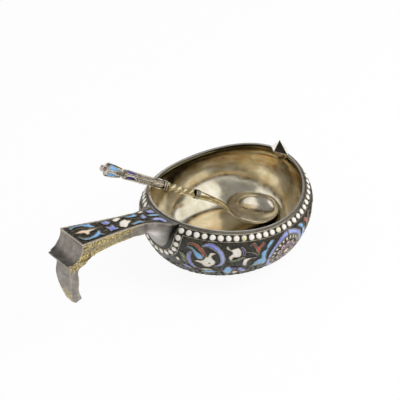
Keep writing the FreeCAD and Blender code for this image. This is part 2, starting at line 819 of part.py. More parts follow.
def arm_side_face():
    """The side outline: hollowed end, ridge, tail and the curved underside."""
    ridge_reach = arm_end_reach + ridge_overhang
    ridge_height = arm_end_height - ridge_drop
    end = side_point(arm_end_reach, arm_end_height)
    ridge = side_point(ridge_reach, ridge_height)
    hollow = side_point(arm_end_reach + ridge_overhang * 0.26, ridge_height + ridge_drop * 0.27)
    lip = side_point(ridge_reach - lip_thickness * 0.2, ridge_height - lip_thickness)
    tail_reach = ridge_reach - ridge_overhang * 0.27
    drop = ridge_height - tail_tip_height
    neck_in = side_point(ridge_reach - ridge_overhang * 0.24, ridge_height - drop * 0.08)
    neck = side_point(tail_reach - ridge_overhang * 0.04, ridge_height - drop * 0.17)
    belly = side_point(tail_reach + ridge_overhang * 0.04, ridge_height - drop * 0.52)
    shin = side_point(tail_reach - ridge_overhang * 0.18, ridge_height - drop * 0.9)
    tip = side_point(tail_reach - ridge_overhang * 0.47, tail_tip_height)
    toe = side_point(tail_reach - ridge_overhang * 0.68, tail_tip_height + lip_thickness)
    calf = side_point(tail_reach - tail_thickness * 0.95, ridge_height - drop * 0.58)
    knee = side_point(tail_reach - tail_thickness * 1.06, ridge_height - drop * 0.32)
    bend = side_point(arm_end_reach - arm_depth * 0.28, ridge_height - drop * 0.085)
    palm = side_point(arm_end_reach - arm_depth * 1.45, arm_top(arm_end_reach) - arm_depth * 1.72)
    under = side_point(arm_end_reach - arm_depth * 4.0, arm_top(arm_end_reach - arm_depth * 4) - arm_depth * 1.16)
    waist = side_point(arm_waist_reach, arm_top(arm_waist_reach) - arm_depth * 1.18)
    inside = side_point(arm_straight_reach, arm_top(arm_straight_reach) - arm_depth * 1.35)
    top = side_point(arm_straight_reach, arm_top(arm_straight_reach))
    edges = [
        Part.Arc(end, hollow, ridge).toShape(),
        Part.makeLine(ridge, lip),
        Part.Arc(lip, neck_in, neck).toShape(),
        Part.Arc(neck, belly, shin).toShape(),
        Part.makeLine(shin, tip),
        Part.makeLine(tip, toe),
        Part.Arc(toe, calf, knee).toShape(),
        Part.Arc(knee, bend, palm).toShape(),
        Part.Arc(palm, under, waist).toShape(),
        Part.makeLine(waist, inside),
        Part.makeLine(inside, top),
        Part.makeLine(top, end),
    ]
    return Part.Face(Part.Wire(edges))


# The flare: shares of the way in, of the drop and of the widening, and how square each section is
root_depth_share = 1.35
root_flare_shares = [(0, 0, 0, 7), (0.2, 0.06, 0.05, 5.5), (0.4, 0.26, 0.25, 4), (0.56, 0.62, 0.62, 2.9),
                     (0.66, 0.88, 0.88, 2.4), (0.74, 0.98, 0.97, 2.2), (0.86, 0.99, 0.98, 2.2), (1, 0.99, 0.98, 2.2)]


def root_section(reach, half_width, top, foot, power):
    """A cross-section of the flaring root: flat above, rounded below."""
    points = []
    count = 12
    for index in range(count + 1):
        angle = half_turn * index / count
        y = math.copysign(abs(math.cos(angle)) ** (2 / power), math.cos(angle))
        z = math.sin(angle) ** (2 / power)
        points.append(Vector(-reach, half_width * y, top - (top - foot) * z))
    curve = Part.BSplineCurve()
    curve.interpolate(Points=points)
    return Part.Wire([curve.toShape(), Part.makeLine(points[-1], points[0])])


def handle_root():
    """The flare that meets the bowl, from the arm's end of it inward."""
    depth = arm_depth * root_depth_share
    far = arm_straight_reach
    near = rim_back_reach - wall
    top = arm_top(far) + overrun / 4
    start_width = arm_half_width(far)
    start_foot = arm_top(far) - depth
    fall = start_foot - root_foot_height
    sections = []
    for share, drop_share, width_share, power in root_flare_shares:
        reach = far - (far - near) * share
        half_width = start_width + (root_half_width - start_width) * width_share
        sections.append(root_section(reach, half_width, top, start_foot - fall * drop_share, power))
    return Part.makeLoft(sections, True, False)


def handle_hook(block, rim_room, tray):
    face = arm_side_face()
    width = 2 * (arm_end_half_width + overrun)
    face.translate(Vector(0, -width / 2, 0))
    arm = face.extrude(Vector(0, width, 0))
    plan = arm_plan(0, arm_end_reach + ridge_overhang + lip_thickness, arm_straight_reach)
    arm = arm.common(plan).cut(tail_side_cutter())
    root = handle_root()
    height = arm_top(arm_straight_reach) - root_top_height + 2 * overrun
    above = top_strip(0, height, arm_straight_reach + overrun, rim_back_reach - overrun)
    whole = arm.fuse(root.cut(above)).removeSplitter()
    return whole.cut(block).cut(rim_room).cut(tray)


def tray_slab(low, high, inset):
    """A layer in the handle's top, inside its raised border."""
    start = arm_end_reach - tray_border - inset
    stop = rim_back_reach + tray_border + inset
    plan = arm_plan(tray_border + inset, start, stop)
    return top_strip(low, high, start, stop).common(plan)


# The cells on the handle's top: how far in from its end, and how far to the far side, as shares
# of the end's half width.
far_scroll_shares = [(0.37, 0.7), (0.62, 0.79), (0.95, 0.79), (1.3, 0.71), (1.41, 0.65), (1.54, 0.69),
                     (1.61, 0.66), (1.58, 0.56), (1.6, 0.43), (1.65, 0.26), (1.5, 0.26), (1.35, 0.35),
                     (1.25, 0.46), (1.11, 0.57), (0.95, 0.64), (0.74, 0.66), (0.57, 0.6), (0.38, 0.53), (0.3, 0.58)]
near_scroll_shares = [(0.37, -0.2), (0.4, -0.37), (0.54, -0.49), (0.75, -0.52), (1.0, -0.44), (1.2, -0.36),
                      (1.33, -0.29), (1.49, -0.19), (1.65, -0.11), (1.6, -0.26), (1.53, -0.41), (1.59, -0.51),
                      (1.68, -0.6), (1.51, -0.58), (1.41, -0.52), (1.28, -0.59), (1.1, -0.66), (0.99, -0.65),
                      (0.85, -0.67), (0.64, -0.68), (0.44, -0.65), (0.31, -0.52), (0.27, -0.36)]
spear_shares = [(0.31, 0.12), (0.59, 0.21), (0.83, 0.25), (1.04, 0.17), (1.27, 0.15), (1.63, 0.07), (1.37, -0.01),
                (1.12, -0.06), (0.96, -0.22), (0.8, -0.25), (0.78, -0.06), (0.56, 0.02)]
far_trefoil_shares = [(2.26, 0.58), (2.33, 0.47), (2.53, 0.54), (2.59, 0.44), (2.65, 0.32), (2.49, 0.17),
                      (2.31, 0.16), (2.19, 0.25), (2.17, 0.38)]
near_trefoil_shares = [(2.12, -0.03), (2.31, -0.08), (2.53, 0.02), (2.62, -0.06), (2.58, -0.25), (2.7, -0.38),
                       (2.52, -0.48), (2.33, -0.46), (2.1, -0.5), (2.14, -0.34), (2.1, -0.2)]
far_palmette_shares = [(2.88, 0.43), (3.06, 0.52), (3.27, 0.52), (3.4, 0.46), (3.36, 0.35), (3.16, 0.25),
                       (2.95, 0.22), (2.85, 0.31)]
near_palmette_shares = [(3.05, 0.02), (3.23, 0.14), (3.44, 0.19), (3.58, 0.17), (3.58, 0.04), (3.77, -0.05),
                        (3.52, -0.21), (3.37, -0.32), (3.17, -0.48), (3.01, -0.5), (2.96, -0.4), (2.83, -0.32),
                        (2.93, -0.16)]
far_leaf_shares = [(3.62, 0.47), (3.85, 0.44), (4.09, 0.41), (4.32, 0.47), (4.4, 0.4), (4.41, 0.28), (4.19, 0.19),
                   (3.99, 0.24), (3.75, 0.33)]
near_leaf_shares = [(3.6, -0.41), (3.85, -0.3), (4.12, -0.27), (4.27, -0.36), (4.42, -0.46), (4.21, -0.49),
                    (4.02, -0.44), (3.79, -0.48), (3.63, -0.48)]
near_rim_shares = [(4.47, -0.02), (4.75, 0.27), (4.85, 0.2), (4.8, -0.04), (4.56, -0.17)]
far_rim_shares = [(5.31, 0.62), (5.6, 0.68), (5.78, 0.56), (5.73, 0.36), (5.42, 0.31), (5.26, 0.43)]

arm_motifs = [
    ("handle_blue_scrolls", far_scroll_shares),
    ("handle_blue_scrolls", near_scroll_shares),
    ("handle_cream_spear", spear_shares),
    ("handle_lavender_trefoils", far_trefoil_shares),
    ("handle_lavender_trefoils", near_trefoil_shares),
    ("handle_white_palmette", far_palmette_shares),
    ("handle_white_palmette", near_palmette_shares),
    ("handle_blue_leaves", far_leaf_shares),
    ("handle_blue_leaves", near_leaf_shares),
    ("handle_lavender_trefoils", near_rim_shares),
    ("handle_lavender_trefoils", far_rim_shares),
]


def arm_cells():
    """The enamel cells on the handle's top, as lists of solids by node."""
    low = skin_seat - enamel_sink
    high = skin_seat - enamel_sink + cell_thickness
    layer = tray_slab(low, high, wire_width)
    cells = {}
    for node, shares in arm_motifs:
        face = outline_face(shares, arm_end_half_width, arm_end_half_width)
        face.translate(Vector(-arm_end_reach, 0, 0))
        prism = face.extrude(Vector(0, 0, 2 * arm_end_height))
        cells.setdefault(node, []).extend(prism.common(layer).Solids)
    return cells


# Spoon, in its own frame: bowl centre at the origin, stem towards +X, rim in the XY plane.

def spoon_frame():
    """Lean the spoon against the wall and turn it until its stem lies on the rim."""
    shares = Vector(*touch_shares)
    touching = Vector(shares.x * spoon_bowl_length / 2, shares.y * spoon_bowl_width / 2, shares.z * spoon_bowl_depth)
    turn = math.radians(touch_turn)
    place = body_point(turn, touch_level, -wall - spoon_clearance)
    rim = bare_point(math.radians(rest_turn), 2)
    carried = rim + Vector(0, 0, rim_wire_height + upper_stem_radius + stem_rest_gap)
    yaw = math.degrees(math.atan2(carried.y - place.y, carried.x - place.x))
    pitch = 0.0
    for _ in range(20):
        turned = Rotation(Vector(0, 0, 1), yaw).multiply(Rotation(Vector(0, 1, 0), -pitch))
        turned = turned.multiply(Rotation(Vector(1, 0, 0), spoon_roll))
        base = place - turned.multVec(touching)
        start = base + turned.multVec(stem_point(0))
        miss = carried - start
        miss = miss - turned.multVec(stem_direction()) * miss.dot(turned.multVec(stem_direction()))
        reach = carried.distanceToPoint(place)
        sideways = Vector(-math.sin(math.radians(yaw)), math.cos(math.radians(yaw)), 0)
        yaw += math.degrees(miss.dot(sideways) / reach)
        pitch += math.degrees(miss.z / reach)
    return Placement(base, turned)


def dish(length, width, depth):
    """The lower half of an ellipsoid."""
    scale = Matrix()
    scale.scale(length / 2, width / 2, depth)
    ball = Part.makeSphere(1, Vector(0, 0, 0), Vector(0, 0, 1), -90, 0, 360)
    return ball.transformGeometry(scale)


def stem_direction():
    bend = math.radians(spoon_bend)
    return Vector(math.cos(bend), 0, math.sin(bend))


def stem_point(station):
    start = Vector(spoon_bowl_length / 2, 0, spoon_stem_offset)
    return start + stem_direction() * station


def spoon_bowl():
    outer = dish(spoon_bowl_length, spoon_bowl_width, spoon_bowl_depth)
    inner = dish(spoon_bowl_length - 2 * spoon_wall, spoon_bowl_width - 2 * spoon_wall, spoon_bowl_depth - spoon_wall)
    return outer.cut(inner)


def spoon_neck():
    """From the back of the spoon's bowl up to its lower collar."""
    root = Vector(spoon_bowl_length / 2 - spoon_wall, 0, -neck_root_radius)
    end = stem_point(spoon_neck_length)
    lead = stem_point(spoon_neck_length * 0.35)
    count = 6
    sections = []
    for index in range(count + 1):
        share = index / count
        place = root * (1 - share) ** 2 + lead * (2 * share * (1 - share)) + end * share ** 2
        along = ((lead - root) * (1 - share) + (end - lead) * share).normalize()
        if index == count:
            along = stem_direction()
        waist = 4 * share * (1 - share)
        radius = neck_root_radius + (twist_radius - neck_root_radius) * share
        radius = radius - (radius - neck_waist_radius) * waist * 0.5
        sections.append(Part.Wire(Part.makeCircle(radius, place, along)))
    return Part.makeLoft(sections, True, False)


def station_after(*lengths):
    return spoon_neck_length + sum(lengths)


def stem_rod(start, length, radius_a, radius_b):
    """A round tapering length of stem."""
    if radius_a == radius_b:
        return Part.makeCylinder(radius_a, length, stem_point(start), stem_direction())
    return Part.makeCone(radius_a, radius_b, length, stem_point(start), stem_direction())


def collar(start, length, rings):
    """A core with round rings on it."""
    ring_radius = length / rings / 2
    body = stem_rod(start, length, collar_radius - ring_radius, collar_radius - ring_radius)
    for index in range(rings):
        place = stem_point(start + ring_radius * (2 * index + 1))
        ring = Part.makeTorus(collar_radius - ring_radius, ring_radius, place, stem_direction())
        body = body.fuse(ring)
    keep = stem_rod(start, length, collar_radius + ring_radius, collar_radius + ring_radius)
    return body.common(keep)


def twisted_stem(start):
    """A four-lobed bar twisted about its own axis."""
    count = 20
    lobes = 4
    steps = 24
    direction = stem_direction()
    side = Vector(0, 1, 0)
    up = direction.cross(side)
    sections = []
    for index in range(count + 1):
        share = index / count
        twist = full_turn * twist_turns / lobes * share
        points = []
        for step in range(steps):
            angle = full_turn * step / steps
            radius = twist_radius * (0.86 + 0.14 * math.cos(lobes * angle))
            offset = side * (radius * math.cos(angle + twist)) + up * (radius * math.sin(angle + twist))
            points.append(stem_point(start + twist_length * share) + offset)
        curve = Part.BSplineCurve()
        curve.interpolate(Points=points, PeriodicFlag=True)
        sections.append(Part.Wire(curve.toShape()))
    faces = [Part.Face(sections[0]), Part.Face(sections[-1])]
    for lower, upper in zip(sections, sections[1:]):
        faces += ruled(lower, upper)
    return to_solid(faces)


def finial_cells(start):
    """Tear-shaped cells round the flaring finial."""
    count = 6
    cells = []
    direction = stem_direction()
    side = Vector(0, 1, 0)
    up = direction.cross(side)
    mean = (upper_stem_end_radius + finial_mouth_radius) / 2
    slope = math.atan((finial_mouth_radius - upper_stem_end_radius) / finial_length)
    for index in range(count):
        angle = full_turn * index / count
        out = side * math.cos(angle) + up * math.sin(angle)
        along = direction * math.cos(slope) + out * math.sin(slope)
        normal = out * math.cos(slope) - direction * math.sin(slope)
        across = normal.cross(along)
        place = stem_point(start + finial_length / 2) + out * mean + normal * (skin_seat + wire_width / 8)
        face = outline_face(tear_shares, finial_length * 0.9, upper_stem_end_radius * 0.9)
        frame = Matrix(along.x, across.x, normal.x, place.x,
                       along.y, across.y, normal.y, place.y,
                       along.z, across.z, normal.z, place.z,
                       0, 0, 0, 1)
        face.Placement = Placement(frame)
        cells.append(face.extrude(normal * cell_thickness))
    return cells


def spoon_parts():
    """Every piece of the spoon by node, in the spoon's own frame."""
    collar_start = station_after()
    twist_start = station_after(lower_collar_length)
    upper_start = station_after(lower_collar_length, twist_length)
    stem_start = station_after(lower_collar_length, twist_length, upper_collar_length)
    finial_start = station_after(lower_collar_length, twist_length, upper_collar_length, upper_stem_length)
    knob_start = finial_start + finial_length
    ball = Part.makeSphere(knob_radius, stem_point(knob_start + knob_length - knob_radius))
    neck_of_knob = stem_rod(knob_start, knob_length - knob_radius, knob_radius / 2, knob_radius / 2)
    outer_dish = dish(spoon_bowl_length, spoon_bowl_width, spoon_bowl_depth)
    return {
        "spoon_bowl": spoon_bowl(),
        "spoon_neck": spoon_neck().cut(outer_dish),
        "spoon_lower_collar": collar(collar_start, lower_collar_length, 3),
        "spoon_twisted_stem": twisted_stem(twist_start),
        "spoon_upper_collar": collar(upper_start, upper_collar_length, 2),
        "spoon_upper_stem": stem_rod(stem_start, upper_stem_length, upper_stem_radius, upper_stem_end_radius),
        "spoon_finial": stem_rod(finial_start, finial_length, upper_stem_end_radius, finial_mouth_radius),
        "spoon_finial_cells": group(finial_cells(finial_start)),
        "spoon_end_knob": ball.fuse(neck_of_knob).common(
            stem_rod(knob_start, knob_length * 2, knob_radius * 2, knob_radius * 2)),
    }


def build():
    os.makedirs("parts", exist_ok=True)
    block = body_block()
    beak = prow_beak()
    root_room = root_prism(tray_clearance)

    save(bowl_shell().cut(beak), "bowl_shell")
    save(rim_wire(0, 0).cut(beak), "rim_wire")
    save(beak, "prow_beak")

    band_top, _row, band_foot = band_levels()
    band_foot_edge = level_span(band_foot, wire_width + skin_seat) / 2
    band_top_edge = level_span(band_top, wire_width + skin_seat) / 2
    panel_foot_edge = level_span(panel_foot_share, wire_width + skin_seat) / 2
    ground = skin_seat + ground_thickness
    band = skin(band_foot + band_foot_edge, band_top - band_top_edge, skin_seat, ground)
    panel = skin(panel_foot_share + panel_foot_edge, band_foot - band_foot_edge, skin_seat, ground)
    save(band.cut(root_room).cut(beak), "band_ground")
    save(panel.cut(root_room).cut(beak), "panel_ground")
    inner_room, outer_room = [root_prism(grow + wire_width + bead_base()) for grow in root_wire_grows()]
    save(wire_ring(band_top).cut(inner_room).cut(beak), "band_upper_wire")
    save(wire_ring(band_foot).cut(outer_room).cut(beak), "band_lower_wire")
    save(wire_ring(panel_foot_share), "panel_foot_wire")
    save(group(rim_beads()), "rim_beads")
    save(group(root_beads()), "root_beads")
    save(group(root_wires()), "root_wires")

    for node, solids in panel_cells(outer_room).items():
        save(group(solids), node)

    tray = tray_slab(-tray_depth, overrun, 0)
    rim_room = rim_wire(rim_wire_clearance, overrun)
    save(handle_hook(block, rim_room, tray), "handle_hook")
    save(tray_slab(-tray_depth + skin_seat, -enamel_sink, tray_clearance).cut(block), "handle_ground")
    for node, solids in arm_cells().items():
        save(group(solids), node)

    frame = spoon_frame()
    for node, shape in spoon_parts().items():
        placed = shape.copy()
        placed.Placement = frame.multiply(placed.Placement)
        save(placed, node)


build()
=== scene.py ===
import math

import bmesh
import bpy
import numpy as np
from mathutils import Matrix, Vector, noise
from mathutils.geometry import delaunay_2d_cdt
from mathutils.kdtree import KDTree


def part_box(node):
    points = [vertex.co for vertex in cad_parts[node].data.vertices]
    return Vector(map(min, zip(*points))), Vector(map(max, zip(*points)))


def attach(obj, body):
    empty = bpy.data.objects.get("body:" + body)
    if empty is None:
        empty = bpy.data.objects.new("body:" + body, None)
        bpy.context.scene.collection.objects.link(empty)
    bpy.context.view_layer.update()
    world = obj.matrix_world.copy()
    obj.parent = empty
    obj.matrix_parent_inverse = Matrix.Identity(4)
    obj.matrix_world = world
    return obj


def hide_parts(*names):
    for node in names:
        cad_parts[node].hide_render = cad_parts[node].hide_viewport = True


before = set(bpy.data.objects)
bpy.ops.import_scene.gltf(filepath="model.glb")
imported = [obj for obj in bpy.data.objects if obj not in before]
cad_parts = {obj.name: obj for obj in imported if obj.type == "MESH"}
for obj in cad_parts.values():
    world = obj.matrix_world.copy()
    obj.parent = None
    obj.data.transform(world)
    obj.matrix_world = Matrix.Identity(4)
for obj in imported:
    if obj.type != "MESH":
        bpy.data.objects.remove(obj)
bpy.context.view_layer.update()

# A small enamelled kovsh and its spoon. Lengths are millimetres until a mesh is made.

MM = 0.001

# Bowl
rim_half_width = 35.0
rim_front_reach = 36.7
rim_back_reach = 41.1
rim_side_height = 30.0
prow_sheer = 6.9
root_sheer = 5.1
wall = 1.3
belly_bulge_share = 1.10
belly_height_share = 0.78
base_share = 0.56
rim_level = 2.0
foot_ring_shares = (0.02, 0.3, 0.6, 0.9)
floor_ring_shares = (0.9, 0.75, 0.6, 0.45, 0.3, 0.15, 0.02)
hammer_centre = (0.0, 0.0, 20.0)
hammer_reach = 12.0
hammer_depth = 0.14

# Rim, band and enamel
rim_wire_height = 0.8
rim_wire_overhang = 0.3
rim_wire_seat = 0.05
milling_pitch = 0.72
ground_top = 0.40
wire_width = 0.4
bead_diameter = 2.6
bead_height = 0.75
bead_pitch = 3.5
bead_clearance = 0.05
bead_sink = 0.05
bead_skirt = 0.3
bead_collar_gap = 0.08
bead_collar_radius = 0.11
panel_foot_level = 0.24
cell_rise = 0.26
cell_sink = 0.06
cell_round = 0.75
cloison_radius = 0.13
cloison_lift = 0.22
cell_spacing = 0.42
fine_spacing = 0.3
overlay_lift = 0.22
overlay_rise = 0.16
skin_seat = 0.02
rope_radius = 0.21
rope_lay = 0.95
stem_wire_radius = 0.16
curl_wire_radius = 0.1

# Prow beak
beak_half_width = 5.9
beak_setback = 2.2
cusp_depth = 4.4
cusp_rise = 1.5
apex_rise = 6.1
keel_reach = 6.3
keel_drop = 5.9
crease_drop = 8.5
keel_bow = (5.0, 6.2)
apex_lift = 0.6
beak_edge_radius = 0.2
beak_facet_area = 1.5

# Handle
arm_end_reach = 90.1
arm_end_height = 48.5
arm_slope = 0.235
arm_straight_reach = 56.0
arm_end_half_width = 8.1
arm_waist_half_width = 5.3
arm_waist_reach = 61.0
tray_border = 0.9
root_half_width = 9.7
root_foot_height = 19.2
root_top_height = 35.0
root_outline_power = 2.2
enamel_sink = 0.12
arm_stem_radius = 0.13
hook_voxel = 0.26
hook_weld = 0.002
hook_pit_reach, hook_pit_depth = 0.9, 0.05
hook_swell_reach, hook_swell_depth = 6.0, 0.12

# Spoon
spoon_bowl_length = 27.6
spoon_bowl_width = 22.1
spoon_bowl_depth = 6.0
spoon_wall = 0.8
spoon_bend = math.radians(20.9)
spoon_stem_offset = 3.2
spoon_roll = math.radians(-10.8)
neck_length = 16.8
neck_root_radius = 1.35
lower_collar_length = 2.8
twist_length = 15.7
upper_collar_length = 2.2
upper_stem_length = 21.3
finial_length = 9.3
knob_length = 2.5
collar_radius = 2.3
collar_swell = 0.15
twist_radius = 1.85
upper_stem_radius = 1.75
upper_stem_end_radius = 2.0
finial_mouth_radius = 2.9
finial_lip = 0.3
finial_close = 0.12
finial_wire_radius = 0.17
finial_cell_spacing = 0.32
finial_cell_base = 0.08
knob_radius = 1.5
knob_neck_radius = 0.9
neck_tuck = 0.9
neck_slim_radius = 1.3
neck_swell = 0.72
strand_radius = 1.036
facet_radius_share = 0.9

# The photograph: camera's azimuth, elevation, distance from its target and focal length in pixels
camera_azimuth = math.radians(-42.93542)
camera_elevation = math.radians(34.90343)
camera_distance = 442.6935
camera_target = (13.0455, 34.1434, 0.0)
focal_pixels = 832.466
nearest_seen = 10.0
image_pixels = 400
sensor_width = 36.0

full_turn = 2 * math.pi
random = np.random.default_rng(7)
hammer_seed, pit_seed, swell_seed = 3.0, 5.0, 8.0


# The bowl's outer surface for a turn about Z and a level: 0 the base, 1 the belly, 2 the rim

def swell(level):
    angle = np.clip(level, 0, 1) * math.pi / 2
    low = base_share + (belly_bulge_share - base_share) * np.sin(angle)
    rise = np.clip(level - 1, 0, None)
    scale = np.where(level < 1, low, belly_bulge_share - (belly_bulge_share - 1) * rise ** 2)
    height = np.where(level < 1, belly_height_share * (1 - np.cos(angle)),
                      belly_height_share + (1 - belly_height_share) * rise)
    return scale, height


def bare(turn, level):
    turn, level = np.broadcast_arrays(np.asarray(turn, float), np.asarray(level, float))
    scale, height = swell(level)
    mean = (rim_front_reach + rim_back_reach) / 2
    lean = (rim_front_reach - rim_back_reach) / 2
    reach = np.cos(turn) * (mean + lean * np.cos(turn))
    rim = rim_height(turn)
    return np.stack([scale * reach, scale * rim_half_width * np.sin(turn), height * rim], axis=-1)


def rim_height(turn):
    mean = (prow_sheer + root_sheer) / 2
    lean = (prow_sheer - root_sheer) / 2
    return rim_side_height - rim_wire_height + np.cos(turn) ** 2 * (mean + lean * np.cos(turn))


def unit(vectors):
    return vectors / np.linalg.norm(vectors, axis=-1, keepdims=True)


def slopes(turn, level):
    """How the surface moves with the turn and with the level."""
    step = 1 / 2000
    low = np.clip(level - step, 0, None)
    along = (bare(turn + step, level) - bare(turn - step, level)) / (2 * step)
    up = (bare(turn, level + step) - bare(turn, low)) / (level + step - low)[..., None]
    return along, up


def bowl_normal(turn, level):
    turn, level = np.broadcast_arrays(np.asarray(turn, float), np.asarray(level, float))
    along, up = slopes(turn, level)
    return unit(np.cross(along, up))


def on_bowl(turn, level, offset=0.0):
    normal = bowl_normal(turn, level)
    return bare(turn, level) + normal * np.broadcast_to(offset, normal.shape[:-1])[..., None]


def level_span(level, length):
    """How much of a level a length along the bowl's side takes up."""
    step = 1 / 100
    rise = np.linalg.norm(bare(math.pi / 2, level + step) - bare(math.pi / 2, level - step))
    return length * 2 * step / rise


bead_step = bead_diameter / 2 + bead_clearance + wire_width / 2
root_bead_grow = wire_width + bead_clearance + bead_diameter / 2
band_top_level = 2 - level_span(2, rim_wire_overhang + wire_width / 2)
bead_row_level = band_top_level - level_span(band_top_level, bead_step)
band_foot_level = bead_row_level - level_span(bead_row_level, bead_step)


# Meshes

class Sheaf:
    """Points, faces and shades gathered for one piece."""

    def __init__(self):
        self.points = []
        self.faces = []
        self.shades = []
        self.depths = []
        self.count = 0

    def add(self, points, faces, shade=0.5, depth=1.0):
        points = np.asarray(points, float).reshape(-1, 3)
        start = self.count
        self.points.append(points)
        self.faces.extend([tuple(index + start for index in face) for face in faces])
        self.shades.append(np.broadcast_to(shade, len(points)))
        self.depths.append(np.broadcast_to(depth, len(points)))
        self.count += len(points)

    def add_both_sides(self, points, faces, shade=0.5, depth=1.0):
        """The same on both sides of the kovsh, which is alike left and right."""
        self.add(points, faces, shade, depth)
        self.add(np.asarray(points) * (1, -1, 1), [face[::-1] for face in faces], shade, depth)


def add_object(name, data):
    made = bpy.data.objects.new(name, data)
    bpy.context.scene.collection.objects.link(made)
    return made


def mark(mesh, marks):
    """Give each point of a mesh its values, for the shaders."""
    for label, values in marks.items():
        attribute = mesh.attributes.new(label, "FLOAT", "POINT")
        attribute.data.foreach_set("value", values.astype(np.float32))


def piece(name, sheaf, material, body="kovsh", replaces=(), sharp=40):
    """A named mesh that rides on a body and stands for the nodes it replaces."""
    mesh = bpy.data.meshes.new(name)
    mesh.from_pydata((np.concatenate(sheaf.points) * MM).tolist(), [], sheaf.faces)
    mark(mesh, {"shade": np.concatenate(sheaf.shades), "depth": np.concatenate(sheaf.depths)})
    return finished(mesh, name, material, body, replaces, sharp)


def finished(mesh, name, material, body, replaces, sharp):
    solid = bmesh.new()
    solid.from_mesh(mesh)
    bmesh.ops.recalc_face_normals(solid, faces=solid.faces)
    solid.to_mesh(mesh)
    solid.free()
    mesh.shade_smooth()
    mesh.set_sharp_from_angle(angle=math.radians(sharp))
    mesh.materials.append(material)
    made = add_object(name, mesh)
    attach(made, body)
    if replaces:
        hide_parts(*replaces)
    return made


def sheaf_of(*made):
    sheaf = Sheaf()
    sheaf.add(*made)
    return sheaf


def grid_faces(rows, columns, wrap_columns=False, wrap_rows=False):
    """Quads of a grid of points, row by row."""
    faces = []
    for row in range(rows if wrap_rows else rows - 1):
        here = row * columns
        below = (row + 1) % rows * columns
        for column in range(columns if wrap_columns else columns - 1):
            beside = (column + 1) % columns
            faces.append((here + column, here + beside, below + beside, below + column))
    return faces


def capped_faces(rows, columns):
    """Faces of closed rings of points, with both ends filled."""
    faces = grid_faces(rows, columns, wrap_columns=True)
    faces.append(tuple(range(columns)))
    faces.append(tuple((rows - 1) * columns + index for index in reversed(range(columns))))
    return faces


def circle(count):
    """Points round a circle of radius one."""
    angle = full_turn * np.arange(count) / count
    return np.stack([np.cos(angle), np.sin(angle)], axis=1)


def tube(path, normals, radius, sides=6, closed=False, twist=None, strands=2, groove=0.0):
    """A wire along a path, with optional strands that twist along it."""
    path = np.asarray(path, float)
    count = len(path)
    if closed:
        tangent = unit(np.roll(path, -1, 0) - np.roll(path, 1, 0))
    else:
        tangent = unit(np.gradient(path, axis=0))
    side = unit(np.cross(tangent, normals))
    up = np.cross(side, tangent)
    angle = full_turn * np.arange(sides) / sides
    spin = np.zeros(count) if twist is None else twist
    grooved = 1 + groove * np.cos(strands * (angle[None, :] - spin[:, None]))
    reach = np.broadcast_to(radius, count)[:, None] * grooved
    out = np.cos(angle)[None, :, None] * up[:, None, :] + np.sin(angle)[None, :, None] * side[:, None, :]
    points = path[:, None, :] + reach[..., None] * out
    faces = grid_faces(count, sides, True, True) if closed else capped_faces(count, sides)
    return points.reshape(-1, 3), faces


def distances(path):
    """How far along a path each of its points is."""
    return np.concatenate([[0], np.cumsum(np.linalg.norm(np.diff(path, axis=0), axis=1))])


def spaced(path, count, closed=False):
    """The same path with points at even distances."""
    path = np.asarray(path, float)
    if closed:
        path = np.vstack([path, path[:1]])
    along = distances(path)
    wanted = np.linspace(0, along[-1], count + closed)[:count]
    return np.stack([np.interp(wanted, along, path[:, axis]) for axis in range(path.shape[1])], axis=1)


def path_length(path):
    return float(np.linalg.norm(np.diff(np.asarray(path), axis=0), axis=1).sum())


# Outlines: closed curves through a few points, tapering strokes, and flat fillings of them

def between(before, here, after, later, share):
    """The point of a smooth curve that lies a share of the way from here to the point after."""
    return 0.5 * (2 * here + (after - before) * share
                  + (2 * before - 5 * here + 4 * after - later) * share ** 2
                  + (3 * here - before - 3 * after + later) * share ** 3)


def smooth_loop(points, steps=6):
    """A closed curve through the points."""
    points = np.asarray(points, float)
    before, after, later = [np.roll(points, shift, 0) for shift in (1, -1, -2)]
    curve = [between(before, points, after, later, share) for share in np.arange(steps) / steps]
    return np.stack(curve, axis=1).reshape(-1, points.shape[1])


def smooth_line(points, steps=8):
    """An open curve through the points."""
    points = np.asarray(points, float)
    padded = np.vstack([2 * points[0] - points[1], points, 2 * points[-1] - points[-2]])
    curve = []
    for index in range(1, len(padded) - 2):
        curve += [between(*padded[index - 1:index + 3], share) for share in np.arange(steps) / steps]
    curve.append(points[-1])
    return np.array(curve)


def mirrored(half):
    """The whole of an outline that is alike on both sides of its long axis."""
    return np.array(half + [(x, -y) for x, y in half[::-1]])


def ribbon(points, width, blunt=0.25):
    """The outline of a stroke that swells from blunt ends."""
    line = spaced(smooth_line(points), 4 * len(points))
    tangent = unit(np.gradient(line, axis=0))
    across = np.stack([-tangent[:, 1], tangent[:, 0]], axis=1)
    share = np.linspace(0, 1, len(line))
    half = width / 2 * (blunt + (1 - blunt) * np.sin(math.pi * share) ** 0.5)
    left = line + across * half[:, None]
    right = line - across * half[:, None]
    return np.vstack([left, right[::-1]])


def inside(points, loop):
    x, y = points[:, 0][:, None], points[:, 1][:, None]
    ax, ay = loop[:, 0][None], loop[:, 1][None]
    bx, by = np.roll(loop[:, 0], -1)[None], np.roll(loop[:, 1], -1)[None]
    drop = np.where(by == ay, 1e-12, by - ay)
    crossed = ((ay > y) != (by > y)) & (x < (bx - ax) * (y - ay) / drop + ax)
    return crossed.sum(axis=1) % 2 == 1


def edge_distance(points, loop):
    a = loop[None]
    run = (np.roll(loop, -1, 0) - loop)[None]
    share = ((points[:, None] - a) * run).sum(-1) / np.maximum((run ** 2).sum(-1), 1e-12)
    nearest = a + run * np.clip(share, 0, 1)[..., None]
    return np.linalg.norm(points[:, None] - nearest, axis=-1).min(axis=1)


